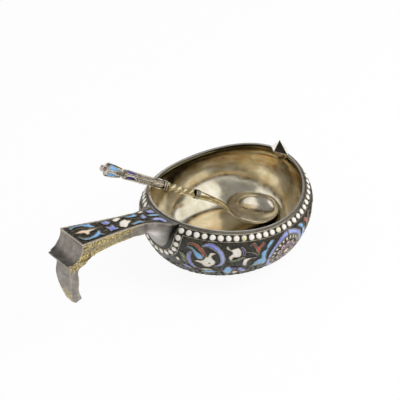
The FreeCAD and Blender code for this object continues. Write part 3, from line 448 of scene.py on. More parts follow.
def filled(loop, spacing):
    """Triangles over an outline, with points inside it."""
    low, high = loop.min(0), loop.max(0)
    columns = np.arange(low[0], high[0], spacing)
    rows = np.arange(low[1], high[1], spacing * 0.87)
    x, y = np.meshgrid(columns, rows)
    x = x + (np.arange(len(rows)) % 2)[:, None] * spacing / 2
    candidates = np.stack([x.ravel(), y.ravel()], axis=1)
    keep = inside(candidates, loop)
    candidates = candidates[keep]
    if len(candidates):
        candidates = candidates[edge_distance(candidates, loop) > spacing * 0.45]
    points = np.vstack([loop, candidates])
    result = delaunay_2d_cdt([Vector(point) for point in points], [], [list(range(len(loop)))], 1, 1e-7)
    flat = np.array([(point.x, point.y) for point in result[0]])
    return flat, [tuple(face) for face in result[2]]


def border_edges(triangles):
    """The edges that only one triangle has."""
    seen = {}
    for face in triangles:
        for a, b in zip(face, face[1:] + face[:1]):
            key = (min(a, b), max(a, b))
            seen[key] = None if key in seen else (a, b)
    return [edge for edge in seen.values() if edge]


def enamel_slab(loop, place, spacing=cell_spacing, rise=cell_rise, base=ground_top, lead=(1, 0)):
    """A closed cell of enamel, rounded towards its edge, with a shade along a direction."""
    flat, triangles = filled(loop, spacing)
    depth = edge_distance(flat, loop)
    share = np.clip(depth / cell_round, 0, 1)
    dome = rise * np.sqrt(1 - (1 - share) ** 2)
    upper = place(flat, base + cell_sink + dome)
    lower = place(flat, np.full(len(flat), base - 2 * cell_sink))
    count = len(flat)
    faces = list(triangles)
    faces += [tuple(index + count for index in reversed(face)) for face in triangles]
    faces += [(b, a, a + count, b + count) for a, b in border_edges(triangles)]
    run = flat @ unit(np.asarray(lead, float))
    shade = (run - run.min()) / max(float(np.ptp(run)), 1e-6)
    return np.vstack([upper, lower]), faces, np.tile(shade, 2), np.tile(share, 2)


class Spot:
    """A flat drawing frame on the bowl's near side: x along the rim towards the prow, y up."""

    def __init__(self, turn, level, size, flip=1):
        self.turn = math.radians(turn if flip > 0 else 540 - turn)
        self.level = level
        self.size = size
        self.flip = flip
        self.normal = bowl_normal(self.turn, self.level)
        along = np.array([-math.sin(self.turn), math.cos(self.turn), 0.0])
        self.along = unit(along - self.normal * (along @ self.normal))
        self.up = np.cross(self.normal, self.along)
        self.origin = bare(self.turn, self.level)

    def place(self, flat, offset):
        """Drop flat points along the frame's normal onto the bowl, then lift them off it."""
        flat = np.asarray(flat, float) * self.size
        target = self.origin + flat[:, :1] * self.flip * self.along + flat[:, 1:] * self.up
        turn = np.full(len(flat), self.turn)
        level = np.full(len(flat), self.level)
        for _ in range(9):
            along, up = slopes(turn, level)
            away = np.broadcast_to(self.normal, along.shape)
            miss = (target - bare(turn, level))[..., None]
            step = np.linalg.solve(np.stack([along, up, away], axis=-1), miss)[..., 0].clip(-0.3, 0.3)
            turn = turn + step[:, 0]
            level = np.clip(level + step[:, 1], 0.02, 1.98)
        return on_bowl(turn, level, offset)


# Materials: each is a shader with its own grain, made from noise in the piece's own coordinates

def linear(red, green, blue):
    """A colour as seen on screen, as the shader's own value."""
    values = []
    for value in (red, green, blue):
        share = value / 255
        values.append(share / 12.92 if share <= 0.04045 else ((share + 0.055) / 1.055) ** 2.4)
    return (*values, 1.0)


def add_node(tree, kind, inputs, **settings):
    """A shader node with its settings, and its inputs linked to outputs or set to values."""
    node = tree.nodes.new("ShaderNode" + kind)
    for name, value in settings.items():
        setattr(node, name, value)
    for socket, value in inputs.items():
        if isinstance(value, bpy.types.NodeSocket):
            tree.links.new(value, node.inputs[socket])
        else:
            node.inputs[socket].default_value = value
    return node


class Finish:
    """A material under construction."""

    def __init__(self, name, metallic=0.0, roughness=0.4, coat=0.0, specular=0.5):
        self.material = bpy.data.materials.new(name)
        self.material.use_nodes = True
        self.tree = self.material.node_tree
        self.shader = self.tree.nodes["Principled BSDF"]
        for label, value in (("Metallic", metallic), ("Roughness", roughness), ("Coat Weight", coat),
                             ("Coat Roughness", 0.06), ("Specular IOR Level", specular)):
            self.shader.inputs[label].default_value = value
        self.place = self.tree.nodes.new("ShaderNodeTexCoord").outputs["Object"]

    def set(self, label, output):
        """Let an output drive one of the shader's inputs."""
        self.tree.links.new(output, self.shader.inputs[label])

    def noise(self, grain, detail=4.0, rough=0.55, warp=0.0, level_share=1.0):
        """Noise whose blotches are about one grain wide, in millimetres, and a share of that high."""
        squash = add_node(self.tree, "VectorMath", {0: self.place, 1: (1, 1, 1 / level_share)},
                          operation="MULTIPLY")
        values = {"Scale": 1 / (grain * MM), "Detail": detail, "Roughness": rough, "Distortion": warp}
        values["Vector"] = squash.outputs["Vector"]
        return add_node(self.tree, "TexNoise", values).outputs["Fac"]

    def cells(self, grain):
        values = {"Scale": 1 / (grain * MM), "Vector": self.place}
        return add_node(self.tree, "TexVoronoi", values).outputs["Distance"]

    def attribute(self, name):
        return add_node(self.tree, "Attribute", {}, attribute_name=name).outputs["Fac"]

    def ramp(self, factor, stops):
        """A colour or value that follows stops of (place, colour)."""
        node = add_node(self.tree, "ValToRGB", {"Fac": factor})
        elements = node.color_ramp.elements
        while len(elements) < len(stops):
            elements.new(0.5)
        for element, (place, colour) in zip(elements, stops):
            element.position = place
            element.color = colour if isinstance(colour, tuple) else (colour, colour, colour, 1)
        return node.outputs["Color"]

    def math(self, operation, a, b):
        return add_node(self.tree, "Math", {0: a, 1: b}, operation=operation).outputs["Value"]

    def mix(self, factor, a, b, blend="MIX"):
        """A mix of two colours: the node's sockets 6 and 7 hold them, and its output 2 the result."""
        inputs = {0: factor, 6: a, 7: b}
        return add_node(self.tree, "Mix", inputs, data_type="RGBA", blend_type=blend).outputs[2]

    def mixed(self, factor, colour, blend="MIX"):
        """Mix a colour into the base colour that is there."""
        before = self.shader.inputs["Base Color"].links[0].from_socket
        self.set("Base Color", self.mix(factor, before, colour, blend))

    def bump(self, height, strength, depth):
        """Relief of a given depth in millimetres, added to what is there."""
        inputs = {"Strength": strength, "Distance": depth * MM, "Height": height}
        if self.shader.inputs["Normal"].links:
            inputs["Normal"] = self.shader.inputs["Normal"].links[0].from_socket
        self.set("Normal", add_node(self.tree, "Bump", inputs).outputs["Normal"])


def metal(name, dark, light, rough_low, rough_high, blotch=5.0, grain=0.5, relief=0.02):
    """Old metal: cloudy colour, uneven polish and a fine grain."""
    finish = Finish(name, metallic=1.0)
    clouds = finish.noise(blotch, 5.0, 0.6, 0.4)
    finish.set("Base Color", finish.ramp(clouds, [(0.32, linear(*dark)), (0.62, linear(*light))]))
    finish.set("Roughness", finish.ramp(finish.noise(grain * 4), [(0.3, rough_low), (0.7, rough_high)]))
    finish.bump(finish.noise(grain, 3.0), 0.5, relief)
    return finish


def enamel(name, stops, edge=(0.35, 0.8), roughness=0.22):
    """Glassy enamel: colour along the cell, cloudy, thinner and darker at its edge, with pits."""
    finish = Finish(name, roughness=roughness, coat=0.35)
    wander = finish.math("MULTIPLY", finish.math("SUBTRACT", finish.noise(1.6), 0.5), 0.7)
    along = finish.math("ADD", finish.attribute("shade"), wander)
    finish.set("Base Color", finish.ramp(along, [(place, linear(*seen)) for place, seen in stops]))
    rim = finish.ramp(finish.attribute("depth"), [(0.0, edge[0]), (edge[1], 1.0)])
    finish.mixed(1.0, rim, "MULTIPLY")
    finish.mixed(1.0, finish.ramp(finish.noise(0.35, 2.0), [(0.62, 1.0), (0.78, 0.72)]), "MULTIPLY")
    polish = [(0.35, roughness * 0.7), (0.7, roughness * 1.9)]
    finish.set("Roughness", finish.ramp(finish.noise(0.8, 3.0), polish))
    finish.bump(finish.noise(0.9, 3.0), 0.4, 0.05)
    return finish.material


def rim_silver():
    """Bright where the crest is worn, dark in the milling, and darkened on its inner face as painted shade."""
    finish = metal("rim_silver", (226, 219, 204), (252, 248, 240), 0.1, 0.22, 3.0, 0.4, 0.003)
    stops = [(0.05, linear(62, 58, 52)), (0.3, linear(120, 112, 98)), (0.8, 1.0)]
    finish.mixed(1.0, finish.ramp(finish.attribute("shade"), stops), "MULTIPLY")
    return finish.material


dark_wire = metal("old_filigree", (38, 36, 31), (128, 120, 98), 0.3, 0.6, 1.2, 0.2, 0.01).material
bright_wire = metal("gilt_silver_wire", (92, 84, 72), (196, 186, 164), 0.22, 0.5, 1.4, 0.2, 0.01).material


def inside_gilt():
    """The bowl's gilt inside: pale and brassy, with a painted amber reflection in level streaks, painted shade
    under the rim, and pits.
    """
    finish = metal("worn_gilt_bowl", (222, 211, 180), (250, 244, 226), 0.1, 0.22, 12.0, 0.8, 0.005)
    # Painted reflection: amber streaks of the bowl's own wall, in a band at mid-wall
    streaks = finish.ramp(finish.noise(11.0, 5.0, 0.6, 0.6, 0.22), [(0.4, 0.0), (0.66, 1.0)])
    painted_amber_reflection = finish.math("MULTIPLY", streaks, finish.attribute("shade"))
    finish.mixed(painted_amber_reflection, linear(214, 158, 52))
    # Painted shade under the rim, darker towards the rim
    painted_rim_shade = finish.ramp(finish.attribute("depth"), [(0.0, 1.0), (1.0, linear(128, 116, 74))])
    finish.mixed(1.0, painted_rim_shade, "MULTIPLY")
    pits = finish.ramp(finish.noise(0.6, 3.0, 0.7), [(0.24, 0.55), (0.31, 1.0)])
    finish.mixed(1.0, pits, "MULTIPLY")
    finish.bump(finish.noise(9.0, 2.0, 0.5, 0.5), 0.35, 0.1)
    return finish.material


def dark_ground():
    """Blackened ground between the cells, stippled with bright metal grains."""
    finish = Finish("blackened_ground", roughness=0.3, specular=0.5)
    grains = finish.ramp(finish.cells(0.42), [(0.12, 1.0), (0.36, 0.0)])
    patches = finish.ramp(finish.noise(3.2, 4.0), [(0.46, 0.02), (0.7, 0.5)])
    amount = finish.math("MULTIPLY", grains, patches)
    warm = finish.ramp(finish.noise(1.5), [(0.4, linear(98, 88, 74)), (0.6, linear(150, 140, 120))])
    black = finish.ramp(finish.noise(0.9, 4.0), [(0.35, linear(8, 10, 9)), (0.7, linear(26, 29, 24))])
    finish.set("Base Color", finish.mix(amount, black, warm))
    finish.bump(grains, 0.7, 0.08)
    return finish.material


gilt_bowl = inside_gilt()
ground = dark_ground()

# Each enamel's colours along a cell, as seen on screen, then how dark and how wide its edge is
enamel_looks = {
    "white_enamel": ([(0.0, (226, 214, 196)), (0.5, (240, 234, 224)), (1.0, (232, 222, 206))], (0.62, 0.5)),
    "pearl_enamel": ([(0.0, (214, 202, 146)), (0.22, (232, 224, 206)), (0.5, (241, 236, 227)),
                      (1.0, (236, 230, 220))], (0.85, 0.3)),
    "lavender_enamel": ([(0.0, (158, 166, 214)), (0.32, (116, 122, 198)), (0.6, (134, 144, 212)),
                         (1.0, (168, 180, 222))],),
    "red_enamel": ([(0.0, (104, 46, 32)), (0.35, (184, 88, 50)), (0.7, (166, 68, 44)),
                    (1.0, (108, 54, 44))],),
    "light_blue_enamel": ([(0.0, (118, 138, 134)), (0.3, (120, 170, 206)), (0.7, (112, 176, 232)),
                           (1.0, (140, 190, 232))],),
    "green_enamel": ([(0.0, (78, 112, 80)), (1.0, (132, 162, 116))],),
    "dark_blue_enamel": ([(0.0, (40, 26, 104)), (1.0, (66, 46, 168))],),
    "mauve_enamel": ([(0.0, (98, 62, 92)), (0.45, (170, 128, 138)), (1.0, (206, 182, 180))],),
    "peach_enamel": ([(0.0, (232, 196, 160)), (0.6, (238, 216, 190)), (1.0, (240, 226, 204))],),
}
(white_enamel, pearl_enamel, lavender_enamel, red_enamel, blue_enamel, green_enamel, deep_blue_enamel,
 mauve_enamel, peach_enamel) = [enamel(name, *look) for name, look in enamel_looks.items()]


def hook_gilt():
    """The cast hook: dark silver where it is bare, mottled yellow gilt where it still holds, worn edges with a
    painted highlight, painted shade at its root and a painted reflection low on its flare.
    """
    finish = Finish("worn_gilt_hook", metallic=1.0)
    clouds = finish.noise(4.0, 5.0, 0.6, 0.5)
    bare_metal = finish.ramp(clouds, [(0.3, linear(112, 107, 101)), (0.7, linear(164, 157, 148))])
    yellow = finish.ramp(finish.noise(0.75, 6.0, 0.75),
                         [(0.37, linear(108, 96, 70)), (0.46, linear(164, 146, 100)),
                          (0.55, linear(218, 198, 134)), (0.67, linear(250, 238, 190))])
    ragged = finish.math("SUBTRACT", finish.noise(1.9, 6.0, 0.75, 0.6), 0.5)
    held = finish.ramp(finish.math("ADD", finish.attribute("shade"), ragged), [(0.34, 0.0), (0.62, 1.0)])
    holes = finish.ramp(finish.noise(1.0, 4.0, 0.75), [(0.4, 1.0), (0.49, 0.0)])
    pores = finish.ramp(finish.noise(0.5, 3.0, 0.7), [(0.3, 1.0), (0.38, 0.0)])
    finish.set("Base Color", finish.mix(held, bare_metal, yellow))
    finish.mixed(finish.math("MULTIPLY", holes, held), linear(96, 86, 72))
    finish.mixed(finish.math("MULTIPLY", pores, held), linear(52, 44, 30))
    # Edges rubbed bright by wear, with a painted highlight
    finish.mixed(finish.attribute("depth"), linear(222, 208, 186))
    # Painted reflection of the white floor, low on the flare
    finish.mixed(finish.attribute("bright"), linear(242, 236, 228))
    # Painted shade where the flare meets the bowl, under the tray's lip
    finish.mixed(finish.attribute("painted_shade"), linear(40, 41, 47))
    finish.set("Roughness", finish.ramp(finish.noise(1.2), [(0.3, 0.3), (0.7, 0.5)]))
    finish.bump(finish.noise(0.85, 4.0, 0.7), 0.5, 0.14)
    return finish.material


hook_metal = hook_gilt()


def grooved_metal(*values):
    """Old metal with painted shade in its grooves."""
    finish = metal(*values)
    painted_shade = finish.ramp(finish.attribute("depth"), [(0.15, linear(66, 56, 36)), (0.6, 1.0)])
    finish.mixed(1.0, painted_shade, "MULTIPLY")
    return finish.material


spoon_silver = grooved_metal("spoon_silver_gilt", (206, 196, 170), (246, 238, 220),
                             0.12, 0.26, 7.0, 0.6, 0.006)
spoon_gold = grooved_metal("spoon_gilt", (206, 186, 130), (250, 240, 208),
                           0.1, 0.22, 3.4, 0.5, 0.003)
spoon_dark = grooved_metal("spoon_old_silver", (118, 108, 100), (222, 210, 200),
                           0.18, 0.4, 2.0, 0.25, 0.012)


# Bowl

def uneven(points, reach, depth, seed):
    """How far each point of a hand-raised surface is off, in millimetres."""
    shift = Vector((seed, 2 * seed, 3 * seed))
    return np.array([noise.noise(Vector(point) / reach + shift) for point in points.reshape(-1, 3)]) * depth


def bowl_mesh():
    """The raised sheet: inside, rim edge, outside and the flat foot, closed."""
    columns = 288
    turns = full_turn * np.arange(columns) / columns
    levels = np.concatenate([[0.0, 0.05], np.linspace(0.1, rim_level, 58)])
    outer = [on_bowl(turns, np.full(columns, level)) for level in levels]
    inner = [on_bowl(turns, np.full(columns, level), -wall) for level in levels]
    foot = [outer[0] * (share, share, 1) for share in foot_ring_shares]
    floor = [inner[0] * (share, share, 1) for share in floor_ring_shares]
    hammered = []
    for ring in inner[::-1] + floor:
        normal = unit(np.array(hammer_centre) - ring)
        hammered.append(ring - normal * np.abs(uneven(ring, hammer_reach, hammer_depth, hammer_seed))[:, None])
    rows = foot + outer + hammered
    down = levels[::-1]
    # shade holds the painted amber reflection band at mid-wall; depth holds the painted shade under the rim
    painted_reflection_band = np.exp(-((down - 1.12) / 0.3) ** 2)
    shade = np.concatenate([np.zeros(len(foot) + len(outer)), painted_reflection_band, np.full(len(floor), 0.1)])
    shadow = np.clip((down - 1.35) / 0.3, 0, 1)
    painted_rim_shade = np.concatenate([np.zeros(len(foot) + len(outer)), shadow, np.zeros(len(floor))])
    faces = capped_faces(len(rows), columns)
    return sheaf_of(np.array(rows), faces, np.repeat(shade, columns), np.repeat(painted_rim_shade, columns))


piece("bowl", bowl_mesh(), gilt_bowl, replaces=["bowl_shell"])


# The rim wire's section: place across it and height, as shares, and how bright it is worn, with painted shade
# on its inner face
rim_section_shares = [(0, 0, 0), (0, 0.7, 0.1), (0.06, 0.93, 0.8), (0.16, 1, 1), (0.5, 1, 1),
                      (0.62, 0.97, 0.7), (0.76, 0.9, 0.15), (0.97, 0.74, 0.1), (1, 0.5, 0),
                      (1, 0.22, 0), (0.98, 0, 0)]


def rim_mesh():
    """A silver wire on the bowl's edge: its top is worn bright, its outside is milled, and its inner face is
    darkened as painted shade.
    """
    around = rim_outline_length()
    dashes = round(around / milling_pitch)
    count = dashes * 6
    turns = full_turn * np.arange(count) / count
    edge = bare(turns, rim_level)
    flat = unit(bowl_normal(turns, np.full(count, rim_level)) * (1, 1, 0))
    milled = 0.5 + 0.5 * np.cos(dashes * turns)
    width = wall + rim_wire_overhang
    rings = []
    shades = []
    for across, height, shade in rim_section_shares:
        dash = milled if across > 0.96 else np.zeros(count)
        offset = -wall + width * (across - 0.1 * dash)
        lift = np.full(count, rim_wire_seat + rim_wire_height * height)
        rings.append(edge + flat * offset[:, None] + lift[:, None] * np.array([0, 0, 1.0]))
        shades.append(shade + 0.55 * (1 - milled) * (across > 0.96))
    faces = grid_faces(count, len(rings), wrap_columns=True, wrap_rows=True)
    return sheaf_of(np.stack(rings, axis=1), faces, np.stack(shades, axis=1).ravel())


def rim_outline_length():
    turns = np.linspace(0, full_turn, 721)
    return path_length(bare(turns, rim_level))


rim_metal = rim_silver()
piece("rim_edge", rim_mesh(), rim_metal, replaces=["rim_wire"])


def beak_mesh():
    """The pinched point: eight hollowed facets with softened edges, and a painted dark reflection on the near
    inner facet.
    """
    corner_turn = math.asin(beak_half_width / rim_half_width)
    corner_x = float(bare(corner_turn, rim_level)[0]) - beak_setback / 2
    edge_z = float(rim_height(corner_turn)) + rim_wire_height
    ring = [(corner_x - cusp_depth, 0, edge_z + cusp_rise), (corner_x, beak_half_width, edge_z),
            (rim_front_reach + keel_reach, 0, edge_z - keel_drop), (corner_x, -beak_half_width, edge_z)]
    apex = (corner_x - beak_setback / 8, 0, edge_z + apex_rise + apex_lift)
    crease = (rim_front_reach + wall / 2, 0, edge_z - crease_drop)
    bow = (apex[0] + keel_bow[0], 0, apex[2] - keel_bow[1])
    facets = bmesh.new()
    cusp, far, keel, near, top, low, swell_out = [facets.verts.new(Vector(point) * MM)
                                                  for point in (*ring, apex, crease, bow)]
    for corners in ((cusp, far, top), (far, swell_out, top), (far, keel, swell_out),
                    (keel, near, swell_out), (swell_out, near, top), (near, cusp, top),
                    (cusp, far, low), (far, keel, low), (keel, near, low), (near, cusp, low)):
        facets.faces.new(corners)
    bmesh.ops.recalc_face_normals(facets, faces=facets.faces)
    inner = (Vector(ring[3]) - Vector(ring[0])).cross(Vector(apex) - Vector(ring[0])).normalized()
    bmesh.ops.bevel(facets, geom=facets.edges[:], offset=beak_edge_radius * MM, segments=3, profile=0.6,
                    affect="EDGES")
    mesh = bpy.data.meshes.new("beak")
    facets.to_mesh(mesh)
    # Painted reflection: the near inner facet is darkened as if it showed the dark bowl inside
    painted_dark_facet = np.ones(len(mesh.vertices))
    for face in facets.faces:
        if abs(face.normal.dot(inner)) > 0.98 and face.calc_area() > beak_facet_area * MM ** 2:
            for vert in face.verts:
                painted_dark_facet[vert.index] = 0.12
    facets.free()
    mark(mesh, {"shade": painted_dark_facet})
    return mesh


def gild_underside(beak):
    """The beak's facets inside the bowl are gilt like its wall."""
    beak.data.materials.append(gilt_bowl)
    for face in beak.data.polygons:
        if face.normal.x < -0.2 and face.normal.z < 0.1:
            face.material_index = 1


gild_underside(finished(beak_mesh(), "beak", rim_metal, "kovsh", ["prow_beak"], 40))


# Beaded band

def root_turn(level, grow):
    """Where a level meets the U at a distance from the root's edge."""
    scale, _height = swell(np.asarray(level))
    return math.pi - math.asin((root_half_width + grow) / (float(scale) * rim_half_width))


def skin_mesh(low, high, rows):
    """A layer of enamel ground round the bowl, closed all round."""
    columns = 240
    turns = full_turn * np.arange(columns) / columns
    rings = [on_bowl(turns, np.full(columns, level), ground_top) for level in np.linspace(low, high, rows)]
    rings += [on_bowl(turns, np.full(columns, level), skin_seat) for level in np.linspace(high, low, rows)]
    return np.array(rings).reshape(-1, 3), grid_faces(len(rings), columns, True, True)


band = sheaf_of(*skin_mesh(band_foot_level, band_top_level, 8))
piece("band_dark_enamel", band, ground, replaces=["band_ground"])
panel = sheaf_of(*skin_mesh(panel_foot_level, band_foot_level, 40))
piece("panel_dark_enamel", panel, ground, replaces=["panel_ground"])


def rope_ring(level, lift, start, stop):
    """A twisted wire round the bowl at one level."""
    whole = stop - start >= full_turn
    rough = start + (stop - start) * np.linspace(0, 1, 721)
    lays = max(1, round(path_length(on_bowl(rough, np.full(721, level), ground_top + lift)) / rope_lay))
    count = lays * 6
    turns = spaced(np.stack([rough, np.zeros(721)], axis=1), count, whole)[:, 0]
    path = on_bowl(turns, np.full(count, level), ground_top + lift)
    twist = full_turn * lays * np.arange(count) / count / 2
    return tube(path, bowl_normal(turns, np.full(count, level)), rope_radius, 8, whole, twist, 2, 0.24)


def bordering_rope(name, level, nodes, stop=full_turn):
    """A twisted wire all round, or from the handle's root round the prow to the root again."""
    start = 0.0 if stop == full_turn else -stop
    rope = sheaf_of(*rope_ring(level, wire_width / 6, start, stop))
    piece(name, rope, bright_wire, replaces=nodes)


outer_rope_grow = root_bead_grow + bead_step
bordering_rope("band_upper_rope", band_top_level, ["band_upper_wire"],
               root_turn(band_top_level, wire_width / 2))
bordering_rope("band_lower_rope", band_foot_level, ["band_lower_wire"],
               root_turn(band_foot_level, outer_rope_grow))
bordering_rope("panel_foot_rope", panel_foot_level, ["panel_foot_wire"])


def pearl(point, normal, along, size, tilt):
    """A domed drop of enamel, a little off round."""
    rings = 7
    sides = 18
    side = np.cross(normal, along)
    angle = full_turn * np.arange(sides) / sides
    wobble = 1 + 0.035 * np.cos(2 * angle + tilt) + 0.025 * np.cos(3 * angle + 2.1 * tilt)
    points = []
    for ring in range(rings):
        share = ring / (rings - 1)
        reach = size * math.cos(share * math.pi / 2 * 0.97) ** 0.7
        height = bead_height * 0.75 * math.sin(share * math.pi / 2)
        points.append(point + (np.cos(angle) * wobble * reach)[:, None] * along
                      + (np.sin(angle) * wobble * reach)[:, None] * side + normal * height)
    low = points[0] - normal * bead_skirt
    rows = [low] + points
    faces = capped_faces(len(rows), sides)
    depth = np.repeat(np.linspace(0, 1, len(rows)) * 1.6, sides).clip(0, 1)
    return np.array(rows).reshape(-1, 3), faces, depth


def collar_ring(point, normal, along, size, wire):
    side = np.cross(normal, along)
    path = point + circle(24) * size @ np.stack([along, side]) + normal * wire
    return tube(path, np.broadcast_to(normal, path.shape), wire, 6, True)


def root_outline(grow, count=64):
    """The U round the handle's root, in the YZ plane."""
    width = root_half_width + grow
    depth = rim_side_height - root_foot_height + grow
    angle = np.linspace(0, math.pi, count + 1)
    y = np.copysign(np.abs(np.cos(angle)) ** (2 / root_outline_power), np.cos(angle))
    z = np.abs(np.sin(angle)) ** (2 / root_outline_power)
    return width * y, rim_side_height - depth * z


def on_root_side(y, z):
    """The turn and level on the handle's side of the bowl at a given y and z."""
    level = np.ones_like(y)
    for _ in range(40):
        scale, _height = swell(level)
        turn = math.pi - np.arcsin(np.clip(y / (scale * rim_half_width), -1, 1))
        share = z / rim_height(turn)
        low = np.arccos(np.clip(1 - share / belly_height_share, -1, 1)) / (math.pi / 2)
        high = 1 + np.clip((share - belly_height_share) / (1 - belly_height_share), 0, 1)
        level = np.where(share < belly_height_share, low, high)
    return turn, level


def even_turns(start, stop, level, pitch):
    """Turns along a level at about one pitch, with the count that fits best."""
    turns = np.linspace(start, stop, 400)
    path = bare(turns, np.full(400, level))
    along = distances(path)
    count = max(1, round(along[-1] / pitch))
    return np.interp(np.linspace(0, along[-1], count + 1), along, turns)


def root_path(grow, top_level, pitch):
    """Turns and levels along the U, with its sides carried up to a level, at about one pitch."""
    y, z = root_outline(grow)
    top = float(swell(np.asarray(top_level))[1] * rim_height(root_turn(top_level, grow)))
    line = np.stack([np.concatenate([[y[0]], y, [y[-1]]]), np.concatenate([[top], z, [top]])], axis=1)
    dense = spaced(line, 500)
    path = on_bowl(*on_root_side(dense[:, 0], dense[:, 1]))
    along = distances(path)
    wanted = np.linspace(0, along[-1], max(2, round(along[-1] / pitch)) + 1)
    return on_root_side(np.interp(wanted, along, dense[:, 0]), np.interp(wanted, along, dense[:, 1]))


def bead_places():
    """Where each white dot sits: both rim rows and the row round the root between them."""
    scale, _height = swell(np.asarray(bead_row_level))
    prow_turn = math.asin((beak_half_width + bead_diameter / 2) / (float(scale) * rim_half_width))
    rows = []
    for side in (1, -1):
        stop = side * root_turn(bead_row_level, root_bead_grow)
        turns = even_turns(side * prow_turn, stop, bead_row_level, bead_pitch)
        rows.append((turns, np.full(len(turns), bead_row_level)))
    turns, levels = root_path(root_bead_grow, bead_row_level, bead_pitch)
    rows.append((turns[1:-1], levels[1:-1]))
    return rows


def bead_pieces():
    names = [("rim_pearls", ["rim_beads"]), ("root_pearls", ["root_beads"])]
    pearls = [Sheaf(), Sheaf()]
    collars = [Sheaf(), Sheaf()]
    for row, (turns, levels) in enumerate(bead_places()):
        kind = 0 if row < 2 else 1
        for turn, level in zip(turns, levels):
            point = on_bowl(turn, level, ground_top - bead_sink)
            normal = bowl_normal(turn, level)
            along = unit(np.cross(normal, (0.0, 0.0, 1.0)))
            size = bead_diameter / 2 * (1 + 0.03 * random.standard_normal())
            points, faces, depth = pearl(point, normal, along, size, random.uniform(0, full_turn))
            yellowed = random.random() < 0.06 and kind == 0
            shade = 0.12 if yellowed else random.uniform(0.35, 0.9)
            pearls[kind].add(points, faces, shade, depth)
            ring = collar_ring(point, normal, along, size + bead_collar_gap, bead_collar_radius)
            collars[kind].add(*ring)
    for (name, nodes), dots, rings in zip(names, pearls, collars):
        piece(name, dots, pearl_enamel, replaces=nodes)
        piece(name + "_collars", rings, bright_wire)


bead_pieces()


def root_ropes():
    """Two wires that follow the U, one each side of its dots."""
    sheaf = Sheaf()
    for grow, top_level in ((wire_width / 2, band_top_level), (outer_rope_grow, band_foot_level)):
        turns, levels = root_path(grow, top_level, wire_width / 3)
        path = on_bowl(turns, levels, ground_top + wire_width / 6)
        twist = np.linspace(0, path_length(path) / rope_lay * math.pi, len(path))
        sheaf.add(*tube(path, bowl_normal(turns, levels), rope_radius, 8, False, twist, 2, 0.22))
    piece("root_ropes", sheaf, bright_wire, replaces=["root_wires"])


root_ropes()


# Enamel panel. Outlines are shares of a drawing frame's size; strokes are a centre line and a width.

leaf_size = 8.3
roundel_size = 10.9
roundel_border = 1.9
roundel_dot_ring = 7.8
roundel_dot_radii = (0.86, 0.62)
roundel_eye_radius = 1.55
roundel_ring_reaches = (6.93, 8.68)
petal_half = [(2.3, -0.35), (3.6, -1.15), (5.2, -1.3), (6.1, -0.5)]
petal_heart = [(3.3, 0.0), (4.2, -0.5), (5.1, 0.0), (4.2, 0.5)]
green_spot_radii = (0.62, 0.5)
green_spot_share = (0.11, -0.26)

red_leaf_shares = [(-1.08, 0.89), (-0.86, 1.0), (-0.59, 0.97), (-0.34, 0.84), (-0.12, 0.6),
                   (-0.03, 0.3), (-0.16, 0.23), (-0.32, 0.54), (-0.55, 0.8), (-0.8, 0.89)]
blue_leaf_shares = [(-1.2, 0.63), (-0.99, 0.81), (-0.77, 0.76), (-0.6, 0.6), (-0.4, 0.43),
                    (-0.25, 0.28), (-0.25, 0.07), (-0.41, -0.01), (-0.57, 0.12), (-0.68, 0.38),
                    (-0.8, 0.6), (-0.99, 0.7)]
palmette_shares = [(-0.67, -0.18), (-0.51, -0.08), (-0.32, -0.09), (-0.16, 0.03), (-0.07, 0.24),
                   (0.02, 0.2), (0.12, 0.39), (0.21, 0.52), (0.47, 0.44), (0.26, 0.32), (0.25, 0.15),
                   (0.42, -0.13), (0.37, -0.35), (0.22, -0.49), (0.03, -0.62), (-0.18, -0.53),
                   (-0.33, -0.34), (-0.52, -0.25)]
right_scroll_shares = [(-0.23, 0.88), (0.06, 0.93), (0.33, 0.84), (0.58, 0.66), (0.76, 0.38),
                       (0.83, 0.03), (0.78, -0.24), (0.66, -0.44), (0.41, -0.54)]
left_scroll_shares = [(-0.86, 0.5), (-0.97, 0.22), (-0.98, -0.12), (-0.87, -0.52), (-0.6, -0.85)]
slim_leaf_a_shares = [(-1.47, 0.26), (-1.29, 0.27), (-1.15, 0.03), (-1.09, -0.26), (-1.21, -0.1),
                      (-1.35, 0.08)]
slim_leaf_b_shares = [(-1.42, 0.06), (-1.36, -0.16), (-1.24, -0.4), (-1.1, -0.62), (-1.16, -0.32),
                      (-1.27, -0.06)]
drop_shares = [(-1.71, -0.26), (-1.57, -0.21), (-1.51, -0.45), (-1.66, -0.51)]
tulip_shares = [(-0.97, 0.99), (-0.92, 0.87), (-0.81, 0.78), (-0.55, 0.83), (-0.37, 0.79),
                (-0.26, 0.58), (-0.3, 0.3), (-0.48, 0.25), (-0.7, 0.28), (-0.78, 0.05), (-0.92, 0.22),
                (-0.89, 0.39), (-0.73, 0.53), (-0.81, 0.71), (-0.99, 0.82), (-1.06, 0.9)]
tulip_cup_shares = [(-0.28, 0.84), (-0.14, 0.78), (-0.05, 0.64), (-0.03, 0.45), (-0.1, 0.3),
                    (-0.2, 0.28), (-0.17, 0.44), (-0.18, 0.64)]
under_leaf_shares = [(-0.89, 0.01), (-0.65, -0.06), (-0.41, 0.01), (-0.03, 0.17), (-0.29, 0.19),
                     (-0.51, 0.12), (-0.72, 0.06)]
flower_blue_shares = [(-1.11, -0.98), (-1.04, -0.52), (-0.87, -0.45), (-0.71, -0.68), (-0.68, -1.03),
                      (-0.8, -1.32)]
flower_dark_shares = [(-0.76, -0.63), (-0.57, -0.55), (-0.4, -0.66), (-0.5, -0.85), (-0.65, -0.85)]
flower_peach_shares = [(-0.66, -1.04), (-0.52, -0.97), (-0.34, -1.02), (-0.34, -1.24), (-0.55, -1.26)]
flower_pale_shares = [(-0.36, -0.75), (-0.21, -0.64), (0.03, -0.92), (0.14, -1.16), (-0.12, -1.16)]
